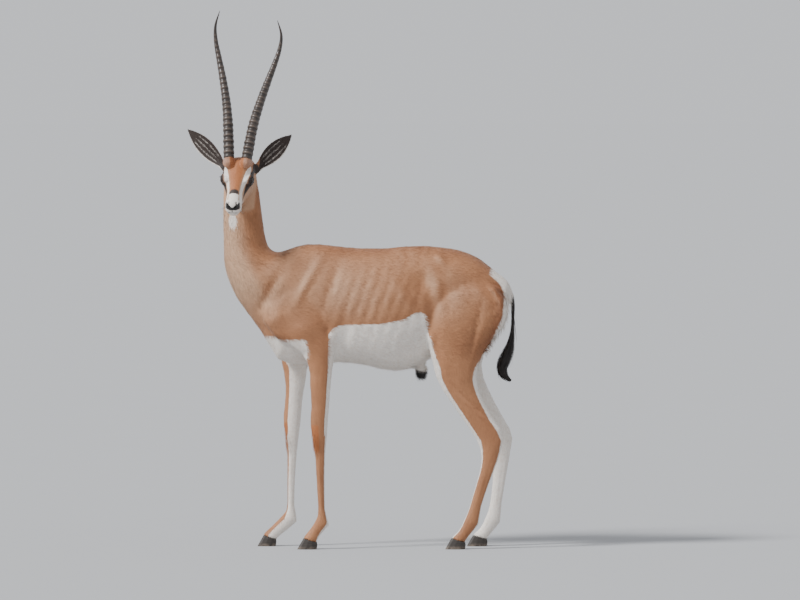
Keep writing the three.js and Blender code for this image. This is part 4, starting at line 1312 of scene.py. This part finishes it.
def hair(name, paths, outward, width, flat, fields, narrow=0.75):
    """A piece of closed, three-sided, tapered tufts. The paths are a list of arrays of
    points, one array for each step from root to tip."""
    count, rings = len(outward), len(paths) - 1
    side = unit(np.cross(outward, paths[-1] - paths[0]))
    points, shades, tips, patches = [], [], [], []
    for ring in range(rings):
        t = ring / rings
        for across, out in SPOTS:
            reach = (side * across + outward * out) * (width * (1 - narrow * t))[:, None]
            points.append(paths[ring] + reach)
            shades.append(unit(outward + side * across * SHADE_TURN))
            tips.append(np.full(count, t))
            patches.append(flat + PATCH * np.array([across, t]))
    points.append(paths[-1])
    shades.append(outward)
    tips.append(np.ones(count))
    patches.append(flat + PATCH * np.array([0.0, 1.0]))
    faces, below = [(0, 2, 1)], [True]
    for a in range(0, 3 * (rings - 1), 3):
        for i, j in ((0, 1), (1, 2), (2, 0)):
            faces += [(a + i, a + j, a + 3 + j), (a + i, a + 3 + j, a + 3 + i)]
            below += [i == 0] * 2
    a, top = 3 * (rings - 1), 3 * rings
    faces += [(a, a + 1, top), (a + 1, a + 2, top), (a + 2, a, top)]
    below += [True, False, False]
    numbers = (np.arange(count)[:, None, None] * (top + 1) + np.array(faces)).reshape(-1, 3)
    mesh = bpy.data.meshes.new(name)
    mesh.vertices.add(count * (top + 1))
    mesh.vertices.foreach_set("co", np.stack(points, axis=1).ravel().astype(np.float32))
    mesh.loops.add(numbers.size)
    mesh.loops.foreach_set("vertex_index", numbers.ravel().astype(np.int32))
    mesh.polygons.add(len(numbers))
    mesh.polygons.foreach_set("loop_start", np.arange(0, numbers.size, 3, dtype=np.int32))
    mesh.update(calc_edges=True)
    mesh.polygons.foreach_set("use_smooth", np.ones(len(numbers), dtype=bool))
    layer = mesh.uv_layers.new(name=UNWRAP_NAME)
    spread = np.stack(patches, axis=1).reshape(-1, 2).astype(np.float32)
    layer.data.foreach_set("uv", spread[numbers.ravel()].ravel())
    # the underside of a tuft is shaded as facing the skin, the rest as facing away from it
    facing = np.where(np.tile(np.repeat(below, 3), count), -1.0, 1.0)
    shades = np.stack(shades, axis=1).reshape(-1, 3)[numbers.ravel()]
    mesh.normals_split_custom_set(shades * facing[:, None])
    piece = bpy.data.objects.new(name, mesh)
    bpy.context.scene.collection.objects.link(piece)
    spread_fields = {key: np.repeat(values, top + 1) for key, values in fields.items()}
    spread_fields["tip"] = np.stack(tips, axis=1).ravel()
    store(piece, spread_fields)
    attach(piece, "root")
    return piece


def bent(place, outward, run, length, lift, droop=None, rings=1):
    """Paths of tufts that rise from the skin at a lift in degrees and bend by a droop."""
    length, lift = length[:, None] * MM, np.radians(lift)[:, None]
    way = run * np.cos(lift) + outward * np.sin(lift)
    droop = np.zeros(3) if droop is None else droop
    steps = [place - outward * 0.5 * MM]
    for ring in range(1, rings + 1):
        t = ring / rings
        steps.append(place + (way * t + droop * t * t) * length)
    return steps


print("hair helpers ready")

# %% [markdown]
# The short coat covers everything but the nose pad, lids, horns and hooves. It is cut into a
# few pieces by region. Tufts turn a little to either side, vary in length and lift, and each
# has its own slight tint.

# %% Short coat
# Values for trunk, legs, face and ears
TUFT_NUMBER = (88000, 130000, 330000, 210000)  # to the square metre
TUFT_LENGTH = (14.0, 7.5, 4.2, 5.0)  # mm
TUFT_WIDTH = (1.75, 1.25, 0.85, 0.9)
TUFT_LIFT = (4.5, 5.0, 5.5, 6.0)  # degrees
TUFT_TURN, TINT_SPREAD, BELLY_LONGER, MUZZLE_SHORTER = 0.12, 0.05, 0.3, 0.45
MUZZLE_FROM = (-200, -150)


def by_region(co, values):
    """A value for each point, blended between the regions of the coat."""
    trunk, leg, face, ear = values
    value = trunk + (leg - trunk) * leg_share(co)
    value = value + (face - value) * is_head(co)
    return value + (ear - value) * is_ear(co)


def tousled(run, outward, draw, spread=TUFT_TURN):
    """The lie of the coat with each tuft turned a little to one side."""
    return unit(run + np.cross(outward, run) * draw.normal(0, spread, (len(run), 1)))


def short_coat(name, region, draw):
    """One piece of short coat on the part of the skin where region is one."""
    place, outward, flat = roots(by_region(FACE_MIDDLE, TUFT_NUMBER) * region, draw)
    fields = markings(place, outward)
    keep = (fields["black"] < 0.5) | (is_head(place) < 0.5)
    place, outward, flat = place[keep], outward[keep], flat[keep]
    fields = {key: values[keep] for key, values in fields.items()}
    count = len(place)
    run = tousled(lie(place, outward), outward, draw)
    low = ramp(-outward[:, 2], 0.3, 0.9) * (1 - leg_share(place)) * (1 - is_head(place))
    muzzle = is_head(place) * (1 - ramp(in_head(place)[:, 1], *MUZZLE_FROM))
    length = by_region(place, TUFT_LENGTH) * draw.uniform(0.75, 1.2, count)
    length *= (1 + BELLY_LONGER * low) * (1 - MUZZLE_SHORTER * muzzle)
    width = by_region(place, TUFT_WIDTH) * draw.uniform(0.8, 1.2, count) * MM
    lift = by_region(place, TUFT_LIFT) + draw.normal(0, 1.3, count)
    fields["tint"] = draw.normal(0, TINT_SPREAD * (1 + 1.6 * fields["pale"]), count)
    piece = hair(name, bent(place, outward, run, length, lift), outward, width, flat, fields)
    coat.dress(piece)
    return piece


FACE_X = in_drawing(FACE_MIDDLE)[:, 0]
FACE_ON_HEAD = is_head(FACE_MIDDLE) >= 0.5
COAT_BORDERS = {
    "coat_neck": (-600, -190), "coat_shoulder": (-190, 20),
    "coat_flank": (20, 250), "coat_rump": (250, 700),
}
coat_pieces = [short_coat("coat_head", FACE_ON_HEAD, np.random.default_rng(SEED))]
for number, (name, (low, high)) in enumerate(COAT_BORDERS.items()):
    region = ~FACE_ON_HEAD & (FACE_X >= low) & (FACE_X < high)
    coat_pieces.append(short_coat(name, region, np.random.default_rng(SEED + 1 + number)))
for piece in coat_pieces:
    print(piece.name, triangles(piece), "triangles")
# %% [markdown]
# The horns sweep up, back and out, and carry strong rings. Each is a tube of many thin rings
# whose size swells at every ridge, more in front than behind, and dies away to the smooth
# tip. The ridges are worn paler than the grooves; fine lengthwise grain runs between them.

# %% Horns
HORN_BASE = (0, -84, 60)
# Outwards, back and up from the base, in mm
HORN_CURVE = [(24, 0, -14), (26, 0, 0), (37, 26, 100), (50, 54, 170), (68, 80, 240),
              (84, 97, 295), (97, 106, 345), (100, 107, 389), (87, 98, 435)]
HORN_RISE = {1: 0.98, -1: 1.03}  # factors on the height, the left horn's first
HORN_HALF_WIDTH, HORN_HALF_DEPTH = 15.3, 19.8
HORN_RIDGES, RIDGED_SHARE = 25, 0.86
RIDGE_HEIGHT, REAR_RIDGE, TIP_RIDGE = 3.0, 0.45, 0.35
HORN_CUT, HORN_END = 0.022, 0.995
COLLAR_SHARE = (0.036, 0.056)  # where the horn comes out of its collar
HORN_SIDES, HORN_STEPS = 36, 330
TAPER_POWER, TAPER_ROUND = 1.6, 0.75


def ridge_wave(at):
    """How far a ridge stands out at a place along the horn, from 0 to 1, steep below."""
    turn = at / RIDGED_SHARE * HORN_RIDGES
    saw = turn - np.floor(turn)
    return np.sin(math.pi * saw ** 0.7) ** 2.2 * (at < RIDGED_SHARE)


def horn(name, side):
    rows = spline(HORN_CURVE, HORN_STEPS * 4) * [side, 1, HORN_RISE[side]]
    centres = from_head(HORN_BASE) + rows @ UPRIGHT_TURN.T * MM
    at = np.linspace(HORN_CUT, HORN_END, HORN_STEPS)
    pick = np.rint(at * (len(centres) - 1)).astype(int)
    tangent = unit(np.gradient(centres, axis=0))[pick]
    centres = centres[pick]
    outward = np.tile(UPRIGHT_TURN @ [side, 0, 0], (HORN_STEPS, 1))
    outward = unit(outward - tangent * np.sum(outward * tangent, axis=1)[:, None])
    backward = unit(np.cross(tangent, outward)) * side
    size = (1 - at ** TAPER_POWER) ** TAPER_ROUND * (0.87 + 0.13 * ramp(at, *COLLAR_SHARE))
    wave = ridge_wave(at) * ramp(at, *COLLAR_SHARE)
    ripple = np.random.default_rng(SEED + 40).normal(0, 1, (HORN_RIDGES + 2, 3))

    def swell(ring, angle):
        rear = 0.5 + 0.5 * np.sin(angle)
        toward_tip = 1 - (1 - TIP_RIDGE) * at[ring] / RIDGED_SHARE
        low = RIDGE_HEIGHT * (1 - (1 - REAR_RIDGE) * rear) * toward_tip
        number = np.minimum((at[ring] / RIDGED_SHARE * HORN_RIDGES).astype(int), HORN_RIDGES)
        uneven = 1 + 0.18 * ripple[number, 0] + 0.12 * np.sin(2 * angle + ripple[number, 1] * 3)
        grain = 0.12 * np.sin(angle * 17 + ripple[number, 2]) * wave[ring]
        return 1 + (low * wave[ring] * uneven + grain) / HORN_HALF_WIDTH

    piece = tube(
        name, centres, outward * (size * HORN_HALF_WIDTH * MM)[:, None],
        backward * (size * HORN_HALF_DEPTH * MM)[:, None], HORN_SIDES, swell,
    )
    here = corners(piece)
    nearest = np.array([int(np.argmin(np.sum((centres - p) ** 2, axis=1))) for p in here])
    front = unit(here - centres[nearest])
    forward = np.clip(-np.sum(front * backward[nearest], axis=1), 0, 1)
    store(piece, {"ridge": wave[nearest], "front": forward, "along": at[nearest]})
    return shade_smooth(piece)


def horn_material():
    m = Material("horn", {"Coat Weight": 0.12, "Coat Roughness": 0.3})
    grain = m.noise(650, 4, (1, 1, 0.06))
    cloud = m.noise(45, 3)
    ridge, along = m.attribute("ridge"), m.attribute("along")
    tone = m.mix(cloud.between(0.3, 0.7), (0.024, 0.017, 0.014), (0.055, 0.038, 0.03))
    worn = ridge.between(0.55, 1.0) * (0.35 + m.attribute("front") * 0.5) * (1 - along * 0.7)
    tone = m.mix(worn * (0.4 + grain * 0.8), tone, (0.17, 0.125, 0.095))
    tone = m.mix(grain.between(0.45, 0.75) * 0.5, tone, (0.022, 0.017, 0.014))
    m.set("Base Color", tone)
    m.set("Roughness", 0.48 - along * 0.16 + grain * 0.14 - ridge * 0.1)
    m.bump(grain * 0.7 + cloud * 0.5, 0.5 * MM)
    return m


horn_finish = horn_material()
for name, side in (("left", 1), ("right", -1)):
    piece = horn(f"horn_surface_{name}", side)
    horn_finish.dress(piece)
    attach(piece, "root")
    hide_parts(f"horn_{name}")
print("horn triangles", triangles(piece))

# %% [markdown]
# Every hoof is two claws. Each is a copy of its solid, remeshed into small quads so that the
# edges soften, with growth lines round the wall and a dull, dusty sole.

# %% Hooves
HOOF_VOXEL = 1.0 * MM
HOOF_SMOOTH, HOOF_ROUNDS = 0.5, 4
SOLE_DUST_Z = (0, 16)
CLAWS = [
    f"claw_{leg}_{place}"
    for leg in LEG_NODES for place in ("inner", "outer")
]


def hoof_material():
    m = Material("hoof", {})
    lines = m.noise(330, 3, (0.12, 0.12, 1))
    dust = m.noise(70, 4)
    tone = m.mix(lines, (0.012, 0.010, 0.009), (0.055, 0.043, 0.035))
    low = m.attribute("low")
    tone = m.mix(low.between(0.1, 1.0) * dust.between(0.3, 0.7) * 0.7, tone, (0.22, 0.17, 0.13))
    m.set("Base Color", tone)
    m.set("Roughness", 0.42 + dust * 0.25 + low * 0.15)
    m.bump(lines + dust * 0.3, 0.5 * MM)
    return m


hoof_finish = hoof_material()
for claw in CLAWS:
    hoof = copy_of(claw, f"hoof_{claw[5:]}")
    modify(hoof, "REMESH", mode="VOXEL", voxel_size=HOOF_VOXEL, adaptivity=0.0)
    soft = smoothed(corners(hoof), neighbour_mean(hoof), HOOF_SMOOTH, HOOF_ROUNDS)
    move_corners(hoof, soft)
    shade_smooth(hoof)
    store(hoof, {"low": 1 - ramp(corners(hoof)[:, 2] / MM, *SOLE_DUST_Z)})
    hoof_finish.dress(hoof)
    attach(hoof, "root")
    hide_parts(claw)
print("hooves", len(CLAWS), "of", triangles(hoof), "triangles")
# %% [markdown]
# Long hair shows at the edges of the animal: brushes on the knees, white hairs in the ears,
# coarse pale hairs down the throat, a fringe at the edge of the white rump, the belly and the
# dark tip of the sheath. It grows from the same kind of roots as the coat, at places picked
# from the skin's faces, but has joints and bends downwards.

# %% Long hair
HAIR_RINGS = 3
DOWN = np.array([0, 0, -1.0])


def long_hair(name, seed, numbers, length, width, lift, droop=None, turn=0.25, spread=0.06):
    """Bent hair where numbers, to the square metre for each face of the skin, is above 0.
    Length and width are in millimetres, the lift is in degrees."""
    draw = np.random.default_rng(SEED + seed)
    place, outward, flat = roots(numbers, draw)
    count = len(place)
    run = tousled(lie(place, outward), outward, draw, turn)
    paths = bent(
        place, outward, run, length * draw.uniform(0.6, 1.15, count),
        lift + draw.normal(0, 4, count), droop, HAIR_RINGS,
    )
    fields = markings(place, outward)
    fields["tint"] = draw.normal(0, spread, count)
    piece = hair(name, paths, outward, np.full(count, width) * MM, flat, fields)
    coat.dress(piece)
    print(name, count, "tufts")


FACE_Z = in_drawing(FACE_MIDDLE)[:, 2]
FACE_LEG, FACE_REAR, _ = leg_places(FACE_MIDDLE)
knee_front = (FACE_LEG < 2) & (FACE_REAR < -4) & ~FACE_ON_HEAD
knee_numbers = 150000 * knee_front * bell(FACE_Z - 318, 22)
long_hair("knee_brushes", 20, knee_numbers, 15, 1.3, 16, DOWN * 0.25)

ear_place, ear_across, ear_cup, _ = ear_places(FACE_MIDDLE, FACE_OUT)
in_cup = (is_ear(FACE_MIDDLE) > 0.6) & (ear_cup > 0.1) & (ear_place > 0.12) & (ear_place < 0.72)
streak = np.minimum(np.abs(np.abs(ear_across) - STREAK_ACROSS), np.abs(ear_across)) < 0.13
long_hair("ear_hair", 21, 160000.0 * (in_cup & streak), 17, 0.8, 12, turn=0.12)

throat = ramp(-FACE_OUT[:, 1] - 0.4 * FACE_OUT[:, 0], 0.2, 0.9)
throat *= ramp(FACE_Z, 700, 790) * (1 - ramp(FACE_Z, 1000, 1040))
throat *= (FACE_X < -200) & ~FACE_ON_HEAD
long_hair("throat_hair", 22, 22000 * throat, 17, 1.4, 9, DOWN * 0.12, turn=0.18, spread=0.1)

rump_edge = bell(np.abs(in_drawing(FACE_MIDDLE)[:, 1]) - 52, 16) * ramp(FACE_OUT[:, 0], 0.2, 0.7)
rump_edge *= (FACE_X > 380) & (FACE_Z > 590) & (FACE_Z < 780)
long_hair("rump_fringe", 24, 60000 * rump_edge, 24, 1.6, 24, DOWN * 0.35, turn=0.2)

belly = ramp(-FACE_OUT[:, 2], 0.5, 0.95) * ((FACE_X > -130) & (FACE_X < 250) & (FACE_Z > 520))
sheath_tip = (FACE_X > 180) & (FACE_X < 236) & (FACE_Z < 545) & (FACE_Z > 480)
long_hair("belly_hair", 23, 16000 * belly + 260000 * sheath_tip, 18, 1.5, 14, DOWN * 0.2)

# %% [markdown]
# Eyelashes and a few whiskers are single dark hairs. The lashes stand on the upper lid, and
# the whiskers round the lips and on the chin.

# %% Lashes and whiskers
LASHES, WHISKERS = 46, 26
LASH_LENGTH, WHISKER_LENGTH = 8.0, 19.0
LASH_WIDTH, WHISKER_WIDTH, LASH_NARROW = 0.45, 0.4, 0.6
WHISKER_Y, WHISKER_Z = (-224, -188), (-34, -12)  # stretch of the lips they stand on, mm
SKIN_TREE = BVHTree.FromPolygons([tuple(p) for p in skin_co], [tuple(map(int, f)) for f in SKIN_FACES])


def lashes(name, side):
    look, forward, up = eye_directions(side)
    draw = np.random.default_rng(SEED + 30 + side)
    around = np.linspace(0.16, 0.84, LASHES) * math.pi + draw.normal(0, 0.02, LASHES)
    along = np.cos(around) * (ALMOND_LENGTH + 1.5)
    tall = np.sin(around) * (ALMOND_HEIGHT + 2.0)
    depth = np.sqrt(np.maximum((EYE_RADIUS + 1.3) ** 2 - along ** 2 - tall ** 2, 1))
    start = EYE_PLACE * [side, 1, 1] + along[:, None] * forward + tall[:, None] * up
    start = start + depth[:, None] * look
    way = unit(look * 0.95 + up * 0.25 + (along / ALMOND_LENGTH)[:, None] * forward * 0.5)
    length = LASH_LENGTH * draw.uniform(0.7, 1.1, (LASHES, 1))
    middle = start + way * length * 0.55 - up * length * 0.12
    tip = start + way * length - up * length * 0.1
    paths = [from_head(step) for step in (start, middle, tip)]
    outward = unit(np.tile(HEAD_TURN @ up, (LASHES, 1)))
    flat = np.stack([np.linspace(0.1, 0.9, LASHES), np.full(LASHES, 0.5)], axis=1)
    width = np.full(LASHES, LASH_WIDTH) * MM
    piece = hair(name, paths, outward, width, flat, {"tint": np.zeros(LASHES)}, LASH_NARROW)
    lid_finish.dress(piece)


def whiskers(name, side):
    draw = np.random.default_rng(SEED + 33 + side)
    y = draw.uniform(*WHISKER_Y, WHISKERS)
    z = draw.uniform(*WHISKER_Z, WHISKERS)
    paths = []
    for a, b in zip(y, z):
        at, normal, _, _ = SKIN_TREE.find_nearest(Vector(from_head([side * 26, a, b])))
        at, normal = np.array(at), np.array(normal)
        way = unit(normal * 0.8 + HEAD_TURN @ [side * 0.3, 0.1, -0.6])
        far = WHISKER_LENGTH * MM * draw.uniform(0.6, 1.1)
        paths.append([at, at + way * far * 0.55, at + way * far + DOWN * far * 0.12])
    paths = np.array(paths)
    outward = unit(np.cross(paths[:, 2] - paths[:, 0], HEAD_TURN @ [0, 1, 0]))
    flat = np.stack([np.linspace(0.1, 0.9, WHISKERS), np.full(WHISKERS, 0.4)], axis=1)
    width = np.full(WHISKERS, WHISKER_WIDTH) * MM
    fields = {"tint": np.zeros(WHISKERS)}
    piece = hair(name, list(paths.swapaxes(0, 1)), outward, width, flat, fields, LASH_NARROW)
    lid_finish.dress(piece)


for name, side in (("left", 1), ("right", -1)):
    lashes(f"lashes_{name}", side)
    whiskers(f"whiskers_{name}", side)
print("lashes and whiskers on both sides")

# %% [markdown]
# The tail is a narrow fleshy dock, white above and at its root, from which long black hair
# hangs and gathers in a tassel. Its strands start all along the dock and below it, follow the
# tail's line and close up towards the tip, and a few stray outward.

# %% Tail
TAIL_STRANDS = 1500
TAIL_STEPS = 240
TAIL_START, TAIL_LAST_ROOT = 0.16, 0.86  # places along the tail
STRAND_LENGTH, STRAND_WIDTH = (0.16, 0.30), 1.5  # share of the tail, mm
STRAND_RINGS = 5
STRAY = 0.5 * MM  # a typical stray is this far out at its tip, the wildest far more
TASSEL_FROM, TASSEL_GIRTH = (0.45, 0.75), 0.9  # the hair thickens over this stretch


def tail_hair(name):
    draw = np.random.default_rng(SEED + 50)
    centres, depth, width = tail_rings(TAIL_STEPS)
    tangent = unit(np.gradient(centres, axis=0))
    back = unit(np.cross(tangent, [0.0, 1.0, 0.0]))
    start = TAIL_START + (TAIL_LAST_ROOT - TAIL_START) * draw.random(TAIL_STRANDS) ** 0.8
    turn = draw.uniform(0, 2 * math.pi, TAIL_STRANDS)
    reach = np.sqrt(draw.uniform(0.15, 1.0, TAIL_STRANDS))
    long = draw.uniform(*STRAND_LENGTH, TAIL_STRANDS)
    stray = draw.normal(0, 1.0, (TAIL_STRANDS, 2)) ** 3 * STRAY
    paths = []
    for step in range(STRAND_RINGS + 1):
        t = step / STRAND_RINGS
        at = np.minimum(start + long * t, 0.999)
        ring = np.minimum((at * (TAIL_STEPS - 1)).astype(int), TAIL_STEPS - 1)
        # a strand begins inside, comes out to the tail's own girth and closes up at the end
        girth = reach * (0.45 + 0.6 * np.sin(math.pi * min(t + 0.12, 1.0)))
        girth = girth * (0.8 + TASSEL_GIRTH * ramp(at, *TASSEL_FROM))
        out_y = np.cos(turn) * width[ring] * girth + stray[:, 0] * t
        out_b = np.sin(turn) * depth[ring] * girth + stray[:, 1] * t
        paths.append(centres[ring] + out_y[:, None] * [0, 1, 0] + out_b[:, None] * back[ring])
    ring = (start * (TAIL_STEPS - 1)).astype(int)
    outward = unit(np.cos(turn)[:, None] * [0, 1, 0] + np.sin(turn)[:, None] * back[ring])
    flat = np.stack([turn / (2 * math.pi), start], axis=1)
    fields = {"tint": draw.normal(0, 1, TAIL_STRANDS)}
    wide = STRAND_WIDTH * MM * draw.uniform(0.7, 1.3, TAIL_STRANDS)
    return hair(name, paths, outward, wide, flat, fields, 0.7)


def tail_material():
    m = Material("tail hair", {"Specular IOR Level": 0.4})
    strand = m.noise(500, 3, (1, 1, 0.12))
    tone = m.mix(strand + m.attribute("tint") * 0.15, (0.008, 0.007, 0.007), (0.032, 0.022, 0.018))
    m.set("Base Color", tone)
    m.set("Roughness", 0.38 + strand * 0.2)
    m.bump(strand, 0.3 * MM)
    return m


tassel = tail_hair("tail_hair")
tail_material().dress(tassel)
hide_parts("tail")
print("tail hair", triangles(tassel), "triangles")
# %% [markdown]
# The stage is a plain pale floor under a bright, even sky, with one large soft light high on
# the left of the camera. The floor is so wide that its edge lies at eye level, and its tone
# is set to the sky's, so no horizon shows behind the animal.

# %% Stage
FLOOR_RADIUS = 150.0
SKY_TONE, SKY_STRENGTH = (0.86, 0.88, 0.92), 0.85
SUN_STRENGTH, SUN_ANGLE = 4.4, 12
SUN_FROM = (-0.7, -0.38, 0.72)
# A floor that sends back as much light as the sky gives, for each colour
SUN_ON_FLOOR = SUN_STRENGTH * SUN_FROM[2] / math.hypot(*SUN_FROM) / math.pi
FLOOR_TONE = tuple(s * SKY_STRENGTH / (s * SKY_STRENGTH + SUN_ON_FLOOR) for s in SKY_TONE)
bpy.ops.object.select_all(action="DESELECT")
bpy.ops.mesh.primitive_circle_add(vertices=64, radius=FLOOR_RADIUS, fill_type="NGON", location=(0, 0, 0))
floor = bpy.context.object
floor.name = "floor"
floor_finish = Material("floor", {"Roughness": 0.9, "Specular IOR Level": 0.0})
grain = floor_finish.noise(3.0, 2)
darker = tuple(0.985 * tone for tone in FLOOR_TONE)
floor_finish.set("Base Color", floor_finish.mix(grain, FLOOR_TONE, darker))
floor_finish.dress(floor)
world = bpy.data.worlds.new("studio")
bpy.context.scene.world = world
world.use_nodes = True
world.node_tree.nodes["Background"].inputs["Color"].default_value = (*SKY_TONE, 1)
world.node_tree.nodes["Background"].inputs["Strength"].default_value = SKY_STRENGTH
sun = bpy.data.lights.new("sun", "SUN")
sun.energy = SUN_STRENGTH
sun.angle = math.radians(SUN_ANGLE)
sun_lamp = bpy.data.objects.new("sun", sun)
bpy.context.scene.collection.objects.link(sun_lamp)
sun_lamp.rotation_euler = Vector(SUN_FROM).to_track_quat("Z", "Y").to_euler()
print("stage ready, sun", SUN_STRENGTH, "sky", SKY_STRENGTH)

# %% [markdown]
# Every piece is placed already.

# %% Finish
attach(skin, "root")
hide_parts(*FLESH_NODES)
